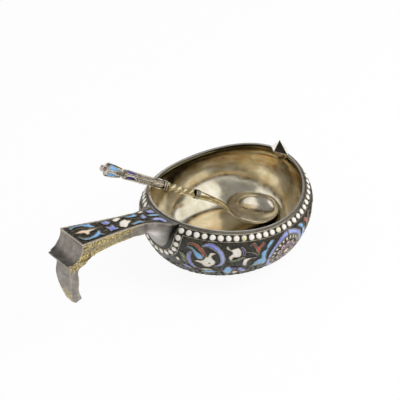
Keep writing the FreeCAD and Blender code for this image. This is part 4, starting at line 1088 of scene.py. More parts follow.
red_palmette_shares = [(0.45, 0.89), (0.21, 0.81), (0.4, 0.79), (0.55, 0.6), (0.65, 0.32), (0.79, 0.13),
                       (0.79, 0.4), (0.92, 0.59), (1.11, 0.66), (1.02, 0.78), (0.85, 0.73),
                       (0.68, 0.63), (0.58, 0.79)]
acanthus_shares = [(1.69, 0.68), (1.45, 0.7), (1.25, 0.58), (1.19, 0.33), (1.0, 0.27), (0.91, 0.09),
                   (0.94, -0.22), (0.69, -0.27), (0.35, -0.71), (0.61, -0.77), (0.87, -0.77),
                   (1.15, -0.88), (1.27, -0.69), (1.2, -0.25), (1.24, 0.13), (1.37, 0.41), (1.56, 0.56)]
curl_leaf_shares = [(-0.12, -0.42), (-0.12, -0.07), (0.02, 0.06), (0.63, -0.04), (0.38, -0.05),
                    (0.17, -0.11), (0.09, -0.32), (0.05, -0.54)]
low_blue_shares = [(-0.35, -1.12), (-0.1, -0.99), (0.25, -0.99), (0.5, -1.1), (0.2, -1.22),
                   (-0.1, -1.24)]
low_white_shares = [(-0.42, -0.9), (-0.2, -0.8), (0.1, -0.8), (0.3, -0.88), (0.05, -0.93),
                    (-0.2, -0.96)]
low_lavender_shares = [(-1.36, -0.74), (-1.2, -0.66), (-0.98, -0.82), (-0.86, -1.04), (-1.06, -1.02),
                       (-1.27, -0.9)]
stem_shares = [(-0.03, 0.52), (0.22, 0.46), (0.5, 0.3), (0.7, 0.08)]

left_spot = (216.7, 0.87, leaf_size)
right_spot = (240.0, 0.87, leaf_size)
roundel_spot = (270.0, 0.775, roundel_size)

# Piece, drawing frame, outline and the direction of its shade
panel_cells = [
    ("red", left_spot, red_leaf_shares, (1, -0.6)),
    ("blue", left_spot, blue_leaf_shares, (1, -0.8)),
    ("white", left_spot, palmette_shares, (0.4, 1)),
    ("green", left_spot, slim_leaf_a_shares, (0.4, -1)),
    ("green", left_spot, slim_leaf_b_shares, (0.4, -1)),
    ("white", left_spot, drop_shares, (0, 1)),
    ("blue", left_spot, low_blue_shares, (1, 0)),
    ("white", left_spot, low_white_shares, (1, 0)),
    ("lavender", left_spot, low_lavender_shares, (1, 0)),
    ("white", right_spot, tulip_shares, (1, 0.2)),
    ("deep_blue", right_spot, tulip_cup_shares, (0, 1)),
    ("green", right_spot, under_leaf_shares, (1, 0)),
    ("blue", right_spot, flower_blue_shares, (0, 1)),
    ("deep_blue", right_spot, flower_dark_shares, (1, 0)),
    ("peach", right_spot, flower_peach_shares, (1, 0)),
    ("lavender", right_spot, flower_pale_shares, (1, -1)),
    ("red", right_spot, red_palmette_shares, (0, 1)),
    ("blue", right_spot, acanthus_shares, (0.6, 1)),
    ("white", right_spot, curl_leaf_shares, (0.3, 1)),
]
panel_strokes = [
    ("lavender", left_spot, right_scroll_shares, 2.1),
    ("lavender", left_spot, left_scroll_shares, 1.9),
]

sheaves = {}
used_points = []


def sheaf_for(colour):
    return sheaves.setdefault(colour, Sheaf())


def wire_on(place, line, lift, radius, sides=6, closed=False):
    """A wire along a flat line, at a height above the surface that the line is placed on."""
    path = place(line, np.full(len(line), lift))
    lifted = place(line, np.full(len(line), lift + 1))
    return tube(path, unit(lifted - path), radius, sides, closed)


def cloison(loop, place, radius=cloison_radius, base=ground_top):
    """The thin wire that fences a cell."""
    count = max(16, round(path_length(loop) * 2.4))
    return wire_on(place, spaced(loop, count, True), base + cloison_lift, radius, closed=True)


def lay_cell(colour, loop, spot_place, lead=(1, 0), both=True, base=ground_top, spacing=cell_spacing):
    points, faces, shade, depth = enamel_slab(loop, spot_place, spacing, base=base, lead=lead)
    wire_points, wire_faces = cloison(loop, spot_place, base=base)
    add = Sheaf.add_both_sides if both else Sheaf.add
    add(sheaf_for(colour), points, faces, shade, depth)
    add(sheaf_for("wire"), wire_points, wire_faces)
    used_points.append(points)


def millimetre_place(spot):
    """A spot's placing for drawings that are already in millimetres."""
    return lambda flat, offset: spot.place(np.asarray(flat) / spot.size, offset)


for flip in (1, -1):
    for colour, spot_values, shares, lead in panel_cells:
        spot = Spot(*spot_values, flip)
        loop = smooth_loop(np.array(shares) * spot.size)
        lay_cell(colour, loop, millimetre_place(spot), lead)
    for colour, spot_values, shares, width in panel_strokes:
        spot = Spot(*spot_values, flip)
        lay_cell(colour, ribbon(np.array(shares) * spot.size, width), millimetre_place(spot))


def palmette_spot():
    """The grey-green spot on the white palmette."""
    oval = np.array(green_spot_share) * leaf_size + circle(14) * green_spot_radii
    for flip in (1, -1):
        place = millimetre_place(Spot(*left_spot, flip))
        slab = enamel_slab(oval, place, fine_spacing, overlay_rise, ground_top + overlay_lift)
        sheaf_for("green").add_both_sides(*slab)


palmette_spot()


def ring_section(outer, inner, start, stop):
    """A closed outline of part of a flat ring."""
    angle = np.linspace(start, stop, max(8, round((stop - start) * outer * 1.6)))
    arc = np.stack([np.cos(angle), np.sin(angle)], axis=1)
    return np.vstack([arc * outer, arc[::-1] * inner])


def rosette(count, first_share=0.0):
    """Turns that set a drawing out evenly round a circle."""
    for index in range(count):
        angle = full_turn * (index + first_share) / count
        yield np.array([[math.cos(angle), math.sin(angle)], [-math.sin(angle), math.cos(angle)]])


def roundel():
    """The large round flower in the middle of each side."""
    place = millimetre_place(Spot(*roundel_spot))
    for index in range(4):
        start = full_turn * index / 4 + 0.02
        stop = start + full_turn / 4 - 0.04
        section = ring_section(roundel_size, roundel_size - roundel_border, start, stop)
        lay_cell("lavender", section, place, (math.cos(start + 2.3), math.sin(start + 2.3)))
    for turned in rosette(22):
        oval = circle(14) * roundel_dot_radii @ turned
        lay_cell("pearl", oval + turned[0] * roundel_dot_ring, place, (1, 0), spacing=fine_spacing)
    for turned in rosette(10, 0.5):
        lay_cell("mauve", smooth_loop(mirrored(petal_half) @ turned, 4), place, tuple(turned[0]))
        heart = smooth_loop(np.array(petal_heart) @ turned, 4)
        slab = enamel_slab(heart, place, fine_spacing, base=ground_top + overlay_lift)
        sheaf_for("deep_blue").add_both_sides(*slab)
    lay_cell("peach", circle(24) * roundel_eye_radius, place)
    for reach in roundel_ring_reaches:
        sheaf_for("ring_wire").add_both_sides(*cloison(circle(90) * reach, place))


roundel()


def thin_stem(spot_values, shares, radius=stem_wire_radius):
    """A fine wire stem on the ground."""
    for flip in (1, -1):
        stem = wire_on(Spot(*spot_values, flip).place, smooth_line(shares), ground_top + radius, radius)
        sheaf_for("wire").add_both_sides(*stem)


thin_stem(right_spot, stem_shares)

enamels = {
    "red": ("panel_red_leaves", red_enamel, "enamel_red", ["panel_red_leaves"]),
    "blue": ("panel_light_blue_leaves", blue_enamel, "enamel_light_blue", ["panel_blue_leaves"]),
    "white": ("panel_white_palmettes", white_enamel, "enamel_white", ["panel_white_petals"]),
    "green": ("panel_green_leaves", green_enamel, "enamel_green", ["panel_green_leaves"]),
    "deep_blue": ("panel_dark_blue_cups", deep_blue_enamel, "enamel_dark_blue", ["panel_dark_blue_cups"]),
    "lavender": ("panel_lavender_scrolls", lavender_enamel, "enamel_lavender",
                 ["panel_lavender_scrolls", "roundel_borders"]),
    "peach": ("panel_peach_petals", peach_enamel, "enamel_cream", ["panel_peach_petals", "roundel_eyes"]),
    "mauve": ("roundel_petals", mauve_enamel, "enamel_mauve", ["roundel_petals"]),
    "pearl": ("roundel_pearls", pearl_enamel, "enamel_white", ["roundel_dots"]),
    "wire": ("cloison_wires", bright_wire, "cloison_wire", []),
    "ring_wire": ("roundel_rings", bright_wire, "cloison_wire", ["roundel_wires"]),
}
for colour, (name, material, slot, nodes) in enamels.items():
    piece(name, sheaves[colour], material, replaces=nodes)


# Filigree on the dark ground: curls where there is room, and grains between them

curl_sizes = (0.75, 1.15)
curl_clearance = 0.25
curl_gap = 0.12
curl_root_margin = 6.0
grain_sizes = (0.1, 0.19)
grain_clearance = 0.36
grain_root_margin = 5.0
arm_curl_sizes = (0.5, 0.85)
arm_curl_clearance = 0.2
arm_curl_gap = 0.15
arm_curl_margin = 0.3
arm_curl_ends = (4.0, 2.0)
arm_curl_lift = 0.08
arm_grain_sizes = (0.08, 0.17)
arm_grain_clearance = 0.34
arm_grain_margin = 0.25
arm_grain_ends = (2.5, 1.2)

def nearest_tree(clouds):
    points = np.concatenate(clouds)
    tree = KDTree(len(points))
    for index, point in enumerate(points):
        tree.insert(point, index)
    tree.balance()
    return tree


def spiral(size, turns, start_share, count, spin=0.0, hand=1):
    """The x and y of an open spiral."""
    share = np.linspace(0, 1, count)
    angle = spin + hand * share * full_turn * turns
    reach = size * (start_share + (1 - start_share) * share)
    return reach * np.cos(angle), reach * np.sin(angle)


def curl(turn, level, size, spin, hand):
    """A small open spiral of wire on the bowl."""
    x, y = spiral(size, 1.35, 0.16, 26, spin, hand)
    along, up = slopes(np.array([turn]), np.array([level]))
    turns = turn + x / np.linalg.norm(along)
    levels = np.clip(level + y / np.linalg.norm(up), 0.03, 1.98)
    path = on_bowl(turns, levels, ground_top + curl_wire_radius)
    return tube(path, bowl_normal(turns, levels), curl_wire_radius, 5)


def near_root(point, margin):
    """Whether a point lies within a margin of the handle's root."""
    across = abs(point[1]) < root_half_width + margin
    return point[0] < 0 and across and point[2] > root_foot_height - margin


def apart(point, reach, taken):
    """Whether a curl at a point stays clear of those already placed."""
    return all(np.linalg.norm(point - other) >= reach + size for other, size in taken)


def small_ball():
    """The points and faces of a ball of radius one."""
    shape = bmesh.new()
    bmesh.ops.create_icosphere(shape, subdivisions=1, radius=1.0)
    points = np.array([tuple(vert.co) for vert in shape.verts])
    faces = [tuple(vert.index for vert in face.verts) for face in shape.faces]
    shape.free()
    return points, faces


def filigree():
    """Curls where there is room on the panel's ground, and grains between them."""
    occupied = nearest_tree(used_points)
    curls = Sheaf()
    grains = Sheaf()
    taken = []
    tries = 2600
    for _ in range(tries):
        turn = math.radians(random.uniform(182, 358))
        level = random.uniform(panel_foot_level + 0.08, band_foot_level - 0.06)
        size = random.uniform(*curl_sizes)
        point = on_bowl(turn, level, ground_top)
        if near_root(point, curl_root_margin):
            continue
        if occupied.find(point)[2] < size + curl_clearance:
            continue
        if not apart(point, size + curl_gap, taken):
            continue
        taken.append((point, size))
        points, faces = curl(turn, level, size, random.uniform(0, full_turn), random.choice([-1, 1]))
        curls.add_both_sides(points, faces)
    ball, ball_faces = small_ball()
    for _ in range(tries * 3):
        turn = math.radians(random.uniform(182, 358))
        level = random.uniform(panel_foot_level + 0.04, band_foot_level - 0.03)
        point = on_bowl(turn, level, ground_top)
        if near_root(point, grain_root_margin) or occupied.find(point)[2] < grain_clearance:
            continue
        size = random.uniform(*grain_sizes)
        grains.add_both_sides(ball * size + point, ball_faces)
    piece("filigree_curls", curls, dark_wire)
    piece("filigree_grains", grains, dark_wire)


filigree()


# Handle

def arm_top(reach):
    """Height of the handle's top at a distance from the origin."""
    bend = arm_end_height - arm_slope * (arm_end_reach - arm_straight_reach)
    share = np.clip((arm_straight_reach - reach) / (arm_straight_reach - rim_back_reach), 0, 1)
    curved = bend + (root_top_height - bend) * share + 4 * arm_slope * share * (1 - share)
    straight = arm_end_height - arm_slope * (arm_end_reach - reach)
    return np.where(reach > arm_straight_reach, straight, curved)


def on_arm(flat, offset):
    """Points on the handle's top: x back from its end towards the rim, y to the far side."""
    flat = np.asarray(flat, float)
    reach = arm_end_reach - flat[:, 0]
    return np.stack([-reach, flat[:, 1], arm_top(reach) + offset], axis=1)


# The hook's inner bend: its x and z, how far it reaches along each, and how much it is filled there
bend_x, bend_z = -89.0, 37.5
bend_reach_x, bend_reach_z = 3.2, 3.4
bend_fill_x, bend_fill_z = 0.9, 1.1
bend_widening = 0.26
bend_side_margin = 0.6
tail_x, tail_outer_x = -80.0, -85.0
tail_fill, tail_tip_fill = 0.5, 1.2
seam_x, seam_reach = -55.0, 5.0
worn_edge_highlight_depth = 1.6
dark_band_depth, dark_band_reach = 3.8, 1.2

# Stretches over which the hook changes, in millimetres: where each starts, and its length with its sign
bulge_stretch = (0.006, 0.014)
tail_stretch = (33.0, -4.0)
tail_tip_stretch = (25.0, -9.0)
seam_stretch = (0.8, 0.8)
end_gilt_stretch = (50.0, 24.0)
under_gilt_stretch = (50.0, 14.0)
above_tail_stretch = (31.0, 6.0)
tail_gilt_stretch = (29.0, -7.0)
tail_side_stretch = (24.0, -8.0)
tail_back_stretch = (85.0, 4.0)
worn_edge_highlight_stretch = (52.0, 8.0)
flare_stretch = (-60.0, 7.0)
flare_end_stretch = (-45.0, -5.0)
low_flare_stretch = (3.4, 3.0)
painted_shade_stretch = (-50.0, 7.0)
painted_shade_height_stretch = (21.0, 8.0)
tray_lip_stretch = (0.3, 0.5)


def past(values, stretch):
    """How far values are along a stretch, as a share from 0 to 1."""
    start, length = stretch
    return np.clip((values - start) / length, 0, 1)


def neighbour_mean(mesh):
    """A function that gives each point the mean of what its neighbours have."""
    ends = np.zeros(len(mesh.edges) * 2, int)
    mesh.edges.foreach_get("vertices", ends)
    a, b = ends.reshape(-1, 2).T
    joined = np.bincount(ends)

    def averaged(values):
        total = np.zeros_like(values)
        np.add.at(total, a, values[b])
        np.add.at(total, b, values[a])
        return total / joined.reshape(-1, *[1] * (values.ndim - 1))

    return averaged


def worn_edge_highlights(averaged, places, normals):
    """How much each point lies on an outer edge, where the gilt is rubbed to bright silver and a highlight is
    painted.
    """
    bulge = ((places - averaged(places)) * normals).sum(axis=1)
    for _ in range(2):
        bulge = 0.5 * bulge + 0.5 * averaged(bulge)
    return past(bulge, bulge_stretch)


def sweep_hook(averaged, places, normals):
    """Sweep the hook as cast: a full inner bend, a tail that thickens to its tip, no seam at the flare."""
    x, y, z = places.T.copy()
    bend = np.exp(-((x - bend_x) / bend_reach_x) ** 2 - ((z - bend_z) / bend_reach_z) ** 2)
    inward = np.clip(normals @ np.array([0.6, 0, -0.8]), 0, 1)
    tail = past(z, tail_stretch) * (x < tail_x)
    y = y * (1 + bend_widening * bend * (np.abs(y) < arm_end_half_width - bend_side_margin))
    thicker = tail_fill + tail_tip_fill * past(z, tail_tip_stretch)
    x = x + bend_fill_x * bend * inward + thicker * tail * np.clip(normals[:, 0], 0, 1)
    z = z - bend_fill_z * bend * inward
    swept = np.stack([x, y, z], axis=1)
    seam = np.exp(-((x - seam_x) / seam_reach) ** 2) * past(arm_top(-x) - z, seam_stretch)
    for _ in range(50):
        swept = swept + (averaged(swept) - swept) * seam[:, None]
    return swept, 1 - seam


def hook_mesh():
    """The cast hook with its edges softened, its surface uneven, and its worn and gilt places marked, with its
    painted highlight, painted shade and painted reflection.
    """
    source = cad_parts["handle_hook"]
    mesh = source.data.copy()
    solid = bmesh.new()
    solid.from_mesh(mesh)
    bmesh.ops.remove_doubles(solid, verts=solid.verts, dist=hook_weld * MM)
    solid.to_mesh(mesh)
    solid.free()
    rough = add_object("rough_hook", mesh)
    remesh = rough.modifiers.new("remesh", "REMESH")
    remesh.mode = "VOXEL"
    remesh.voxel_size = hook_voxel * MM
    soften = rough.modifiers.new("soften", "SMOOTH")
    soften.factor = 0.5
    soften.iterations = 3
    bpy.context.view_layer.update()
    graph = bpy.context.evaluated_depsgraph_get()
    cast = bpy.data.meshes.new_from_object(rough.evaluated_get(graph))
    bpy.data.objects.remove(rough)
    count = len(cast.vertices)
    places, normals = np.zeros((2, count * 3))
    cast.vertices.foreach_get("co", places)
    cast.vertices.foreach_get("normal", normals)
    places = places.reshape(-1, 3) / MM
    normals = normals.reshape(-1, 3)
    averaged = neighbour_mean(cast)
    worn = worn_edge_highlights(averaged, places, normals)
    places, seamless = sweep_hook(averaged, places, normals)
    x, y, z = places.T
    side = np.clip(np.abs(normals[:, 1]) * 1.6 - 0.5, 0, 1)
    under = np.clip(-normals[:, 2] * 1.4, 0, 1)
    outward = np.clip(-normals[:, 0] * 1.3, 0, 1)
    end_gold = past(-x, end_gilt_stretch)
    above_tail = past(z, above_tail_stretch)
    below = arm_top(-x) - z
    banded = 1 - 0.3 * np.exp(-((below - dark_band_depth) / dark_band_reach) ** 2)
    gilt = side * (0.2 + 0.5 * end_gold) * above_tail * banded
    gilt += 0.75 * under * past(-x, under_gilt_stretch) * above_tail
    gilt += 0.6 * outward * past(z, tail_gilt_stretch) * (x < tail_outer_x)
    gilt += 0.2 * side * past(z, tail_side_stretch) * past(-x, tail_back_stretch)
    pits = uneven(places, hook_pit_reach, hook_pit_depth, pit_seed) * np.clip(gilt, 0, 1)
    pitting = pits + uneven(places, hook_swell_reach, hook_swell_depth, swell_seed)
    moved = (places + normals * pitting[:, None]) * MM
    cast.vertices.foreach_set("co", moved.ravel())
    cast.materials.clear()
    # Worn edges with a painted highlight, strongest near the top
    near_top = np.exp(-(below / worn_edge_highlight_depth) ** 2) * past(-x, worn_edge_highlight_stretch)
    edges = worn * seamless * (0.22 + 0.5 * near_top)
    flare = past(x, flare_stretch)
    # Painted shade where the flare meets the bowl, under the tray's lip
    sheltered = past(z, painted_shade_height_stretch) * past(below, tray_lip_stretch)
    painted_shade = 0.85 * past(x, painted_shade_stretch) * sheltered
    # Painted reflection of the white floor, low on the flare
    bright = 0.8 * flare * past(x, flare_end_stretch) * past(below, low_flare_stretch)
    mark(cast, {"shade": np.clip(gilt, 0, 1), "depth": edges, "painted_shade": painted_shade, "bright": bright})
    return cast


finished(hook_mesh(), "cast_hook", hook_metal, "kovsh", ["handle_hook"], 60)
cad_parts["handle_ground"].data.materials.clear()
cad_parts["handle_ground"].data.materials.append(ground)

arm_unit = arm_end_half_width
far_scroll_shares = [(0.37, 0.7), (0.62, 0.79), (0.95, 0.79), (1.3, 0.71), (1.41, 0.65), (1.54, 0.69),
                     (1.61, 0.66), (1.58, 0.56), (1.6, 0.43), (1.65, 0.26), (1.5, 0.26), (1.35, 0.35),
                     (1.25, 0.46), (1.11, 0.57), (0.95, 0.64), (0.74, 0.66), (0.57, 0.6), (0.38, 0.53),
                     (0.3, 0.58)]
near_scroll_shares = [(0.37, -0.2), (0.4, -0.37), (0.54, -0.49), (0.75, -0.52), (1.0, -0.44),
                      (1.2, -0.36), (1.33, -0.29), (1.49, -0.19), (1.65, -0.11), (1.6, -0.26),
                      (1.53, -0.41), (1.59, -0.51), (1.68, -0.6), (1.51, -0.58), (1.41, -0.52),
                      (1.28, -0.59), (1.1, -0.66), (0.99, -0.65), (0.85, -0.67), (0.64, -0.68),
                      (0.44, -0.65), (0.31, -0.52), (0.27, -0.36)]
spear_shares = [(0.31, 0.12), (0.59, 0.21), (0.83, 0.25), (1.04, 0.17), (1.27, 0.15), (1.63, 0.07),
                (1.37, -0.01), (1.12, -0.06), (0.96, -0.22), (0.8, -0.25), (0.78, -0.06), (0.56, 0.02)]
far_trefoil_shares = [(2.26, 0.58), (2.33, 0.47), (2.53, 0.54), (2.59, 0.44), (2.65, 0.32),
                      (2.49, 0.17), (2.31, 0.16), (2.19, 0.25), (2.17, 0.38)]
near_trefoil_shares = [(2.12, -0.03), (2.31, -0.08), (2.53, 0.02), (2.62, -0.06), (2.58, -0.25),
                       (2.7, -0.38), (2.52, -0.48), (2.33, -0.46), (2.1, -0.5), (2.14, -0.34),
                       (2.1, -0.2)]
far_palmette_shares = [(2.88, 0.43), (3.06, 0.52), (3.27, 0.52), (3.4, 0.46), (3.36, 0.35),
                       (3.16, 0.25), (2.95, 0.22), (2.85, 0.31)]
near_palmette_shares = [(3.05, 0.02), (3.23, 0.14), (3.44, 0.19), (3.58, 0.17), (3.58, 0.04),
                        (3.77, -0.05), (3.52, -0.21), (3.37, -0.32), (3.17, -0.48), (3.01, -0.5),
                        (2.96, -0.4), (2.83, -0.32), (2.93, -0.16)]
far_arm_leaf_shares = [(3.62, 0.47), (3.85, 0.44), (4.09, 0.41), (4.32, 0.47), (4.4, 0.4), (4.41, 0.28),
                       (4.19, 0.19), (3.99, 0.24), (3.75, 0.33)]
near_arm_leaf_shares = [(3.57, -0.37), (3.85, -0.27), (4.12, -0.26), (4.27, -0.36), (4.42, -0.46),
                        (4.21, -0.49), (4.02, -0.44), (3.79, -0.48), (3.59, -0.46)]
near_rim_shares = [(4.47, -0.02), (4.75, 0.27), (4.85, 0.2), (4.8, -0.04), (4.56, -0.17)]
root_trefoil_shares = [(4.95, -0.36), (5.2, -0.22), (5.5, -0.26), (5.72, -0.5), (5.66, -0.8),
                       (5.42, -0.78), (5.3, -0.56), (5.08, -0.52)]
root_leaf_shares = [(5.0, 0.08), (5.25, 0.2), (5.55, 0.18), (5.82, 0.04), (5.6, -0.06), (5.3, -0.04)]
root_drop_shares = [(4.62, 0.52), (4.8, 0.62), (5.05, 0.66), (5.08, 0.58), (4.86, 0.48)]
rim_side_shares = [(5.31, 0.62), (5.6, 0.68), (5.78, 0.56), (5.73, 0.36), (5.42, 0.31), (5.26, 0.43)]

# Each row: its sheaf, its outline and the direction of its shade
arm_cells = [
    ("arm_blue", far_scroll_shares, (1, 0)),
    ("arm_blue", near_scroll_shares, (1, 0)),
    ("arm_cream", spear_shares, (1, 0)),
    ("arm_lavender", far_trefoil_shares, (1, 0)),
    ("arm_lavender", near_trefoil_shares, (1, 0)),
    ("arm_white", far_palmette_shares, (1, 0)),
    ("arm_white", near_palmette_shares, (1, 0)),
    ("arm_leaf", far_arm_leaf_shares, (1, 0)),
    ("arm_leaf", near_arm_leaf_shares, (1, 0)),
    ("arm_lavender", near_rim_shares, (1, 0)),
    ("arm_lavender", rim_side_shares, (0, 1)),
    ("arm_lavender", root_trefoil_shares, (0, 1)),
    ("arm_leaf", root_leaf_shares, (0, 1)),
    ("arm_white", root_drop_shares, (0, 1)),
]
arm_base = -enamel_sink

sheaves["wire"] = Sheaf()
used_points.clear()
for colour, shares, lead in arm_cells:
    lay_cell(colour, smooth_loop(np.array(shares) * arm_unit), on_arm, lead, both=False, base=arm_base)

# Fine stems between the cells, in the same shares
arm_stem_shares = [
    [(0.22, 0.36), (0.5, 0.42), (0.8, 0.47), (1.1, 0.4), (1.4, 0.22), (1.75, 0.12), (2.1, 0.16)],
    [(1.7, 0.44), (1.95, 0.5), (2.2, 0.62)],
    [(1.72, -0.34), (1.9, -0.28), (2.06, -0.3)],
    [(2.66, 0.4), (2.8, 0.38), (2.9, 0.32)],
    [(2.66, -0.2), (2.8, -0.14), (2.9, -0.18)],
    [(3.42, 0.36), (3.54, 0.42), (3.64, 0.46)],
    [(3.58, 0.08), (3.8, 0.1), (4.1, 0.06), (4.46, -0.02)],
    [(4.44, 0.36), (4.7, 0.44), (5.0, 0.5), (5.26, 0.5)],
    [(4.42, -0.46), (4.7, -0.5), (5.1, -0.42), (5.5, -0.3), (5.72, -0.08)],
]
for shares in arm_stem_shares:
    line = smooth_line(np.array(shares) * arm_unit)
    sheaf_for("wire").add(*wire_on(on_arm, line, arm_base + curl_wire_radius, arm_stem_radius))

arm_enamels = {
    "arm_blue": ("handle_scrolls", blue_enamel, "enamel_light_blue", ["handle_blue_scrolls"]),
    "arm_cream": ("handle_spear", peach_enamel, "enamel_cream", ["handle_cream_spear"]),
    "arm_lavender": ("handle_trefoils", lavender_enamel, "enamel_lavender", ["handle_lavender_trefoils"]),
    "arm_white": ("handle_palmettes", white_enamel, "enamel_white", ["handle_white_palmette"]),
    "arm_leaf": ("handle_long_leaves", blue_enamel, "enamel_light_blue", ["handle_blue_leaves"]),
    "wire": ("handle_cloisons", bright_wire, "cloison_wire", []),
}
for colour, (name, material, slot, nodes) in arm_enamels.items():
    piece(name, sheaves[colour], material, replaces=nodes)


def arm_half_width(reach):
    """Half the tray's width at a distance from the origin."""
    wide = np.clip((reach - arm_waist_reach) / (arm_end_reach - arm_waist_reach), 0, 1) ** 1.2
    flare = np.clip((arm_waist_reach - reach) / (arm_waist_reach - rim_back_reach), 0, 1) ** 2.6
    half = arm_waist_half_width + (arm_end_half_width - arm_waist_half_width) * wide
    return half + (root_half_width - arm_waist_half_width) * flare - tray_border


def arm_filigree():
    """Curls and grains on the dark ground of the handle's tray."""
    occupied = nearest_tree(used_points)
    curls = Sheaf()
    grains = Sheaf()
    taken = []
    for _ in range(1500):
        reach = random.uniform(rim_back_reach + arm_curl_ends[0], arm_end_reach - arm_curl_ends[1])
        size = random.uniform(*arm_curl_sizes)
        half = float(arm_half_width(reach)) - size - arm_curl_margin
        middle = np.array([arm_end_reach - reach, random.uniform(-half, half)])
        point = on_arm(middle[None], np.array([arm_base]))[0]
        clear = occupied.find(point)[2] > size + arm_curl_clearance
        if not clear or not apart(point, size + arm_curl_gap, taken):
            continue
        taken.append((point, size))
        x, y = spiral(size, 1.3, 0.15, 22, random.uniform(0, full_turn), random.choice([-1, 1]))
        line = middle + np.stack([x, y], axis=1)
        curls.add(*wire_on(on_arm, line, arm_base + arm_curl_lift, curl_wire_radius, 5))
    ball, ball_faces = small_ball()
    for _ in range(2600):
        reach = random.uniform(rim_back_reach + arm_grain_ends[0], arm_end_reach - arm_grain_ends[1])
        half = float(arm_half_width(reach)) - arm_grain_margin
        flat = np.array([[arm_end_reach - reach, random.uniform(-half, half)]])
        point = on_arm(flat, np.array([arm_base]))[0]
        if occupied.find(point)[2] > arm_grain_clearance:
            grains.add(ball * random.uniform(*arm_grain_sizes) + point, ball_faces)
    piece("handle_filigree", curls, dark_wire)
    piece("handle_grains", grains, dark_wire)


arm_filigree()


# Spoon, in its own frame: bowl centre at the origin, stem towards +X. Its place comes from its two collars.

def node_centre(node):
    low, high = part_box(node)
    return (low + high) / 2 / MM


def spoon_place():
    """The spoon's place and turn, from its collars, its bend and its roll."""
    lower = node_centre("spoon_lower_collar")
    upper = node_centre("spoon_upper_collar")
    stem = (upper - lower).normalized()
    bent = Vector((math.cos(spoon_bend), 0, math.sin(spoon_bend)))
    rolled = Matrix.Rotation(spoon_roll, 3, "X") @ bent
    reach = math.hypot(rolled.x, rolled.z)
    pitch = math.asin(stem.z / reach) - math.atan2(rolled.z, rolled.x)
    level = Matrix.Rotation(-pitch, 3, "Y") @ rolled
    yaw = math.atan2(stem.y, stem.x) - math.atan2(level.y, level.x)
    turned = Matrix.Rotation(yaw, 3, "Z") @ Matrix.Rotation(-pitch, 3, "Y")
    turned = turned @ Matrix.Rotation(spoon_roll, 3, "X")
    start = lower - stem * (neck_length + lower_collar_length / 2)
    base = start - turned @ Vector((spoon_bowl_length / 2, 0, spoon_stem_offset))
    return np.array(turned), np.array(base)


spoon_turn, spoon_base = spoon_place()
stem_start = np.array([spoon_bowl_length / 2, 0, spoon_stem_offset])
stem_run = np.array([math.cos(spoon_bend), 0, math.sin(spoon_bend)])
stem_side = np.array([0.0, 1.0, 0.0])
stem_up = np.cross(stem_run, stem_side)


def in_world(points):
    return np.asarray(points) @ spoon_turn.T + spoon_base


def on_stem(station, angle, radius):
    """A point round the stem, at a station along it."""
    station, angle, radius = np.broadcast_arrays(station, angle, radius)
    out = np.cos(angle)[..., None] * stem_side + np.sin(angle)[..., None] * -stem_up
    return in_world(stem_start + station[..., None] * stem_run + out * radius[..., None])


def turned_rod(stations, radii, sides=28, facets=None):
    """A rod turned or faceted to a profile, closed at its ends."""
    angle = full_turn * np.arange(sides) / sides
    rows = []
    for station, radius in zip(stations, radii):
        reach = radius if facets is None else radius * facets(angle)
        rows.append(on_stem(np.full(sides, station), angle, np.broadcast_to(reach, sides)))
    return np.array(rows).reshape(-1, 3), capped_faces(len(rows), sides)


def spoon_piece(name, made, material, nodes, sharp=40, depth=1.0):
    sheaf = Sheaf()
    sheaf.add(*made, depth=depth)
    return piece(name, sheaf, material, "spoon", nodes, sharp)


def spoon_bowl_mesh():
    """The spoon's bowl: an oval dish with a rounded lip."""
    sides = 96
    around = full_turn * np.arange(sides) / sides
    rows = []

    def ring(angle, inset):
        length = (spoon_bowl_length / 2 - inset) * math.sin(angle)
        width = (spoon_bowl_width / 2 - inset) * math.sin(angle)
        drop = -(spoon_bowl_depth - inset) * math.cos(angle)
        pointed = 1 + 0.015 * np.cos(3 * around)
        x = length * np.cos(around) * pointed
        return np.stack([x, width * np.sin(around), np.full(sides, drop)], axis=1)

    steps = 22
    for index in range(steps + 1):
        rows.append(ring(max(0.02, math.pi / 2 * index / steps), 0.0))
    for index in range(1, 6):
        angle = math.pi * index / 6
        lip = ring(math.pi / 2, spoon_wall / 2 - spoon_wall / 2 * math.cos(angle))
        rows.append(lip + np.array([0, 0, spoon_wall / 2 * math.sin(angle)]))
    for index in range(steps + 1):
        rows.append(ring(max(0.02, math.pi / 2 * (1 - index / steps)), spoon_wall))
    return in_world(np.array(rows).reshape(-1, 3)), capped_faces(len(rows), sides)


spoon_piece("spoon_dish", spoon_bowl_mesh(), spoon_silver, ["spoon_bowl"], 60)


def spoon_neck_mesh():
    """The gilt neck: wide and flat where it leaves the bowl, slim in the middle."""
    root = np.array([spoon_bowl_length / 2 - neck_tuck, 0, -neck_root_radius * 0.5])
    end = stem_start + stem_run * neck_length
    lead = stem_start + stem_run * neck_length * 0.35
    count = 26
    sides = 24
    share = np.linspace(0, 1, count)
    bent = lead * (2 * share * (1 - share))[:, None]
    path = root * (1 - share)[:, None] ** 2 + bent + end * share[:, None] ** 2
    tangent = unit(np.gradient(path, axis=0))
    side = np.broadcast_to(stem_side, path.shape)
    up = np.cross(tangent, side)
    radius = neck_slim_radius + neck_swell * share ** 2
    flat = 1 + 0.9 * np.exp(-share * 9)
    angle = full_turn * np.arange(sides) / sides
    wide = (radius * flat)[:, None, None] * np.cos(angle)[None, :, None] * side[:, None]
    thick = (radius / flat ** 0.5)[:, None, None] * np.sin(angle)[None, :, None] * up[:, None]
    points = path[:, None] + wide + thick
    return in_world(points.reshape(-1, 3)), capped_faces(count, sides)


spoon_piece("spoon_gilt_neck", spoon_neck_mesh(), spoon_gold, ["spoon_neck"])

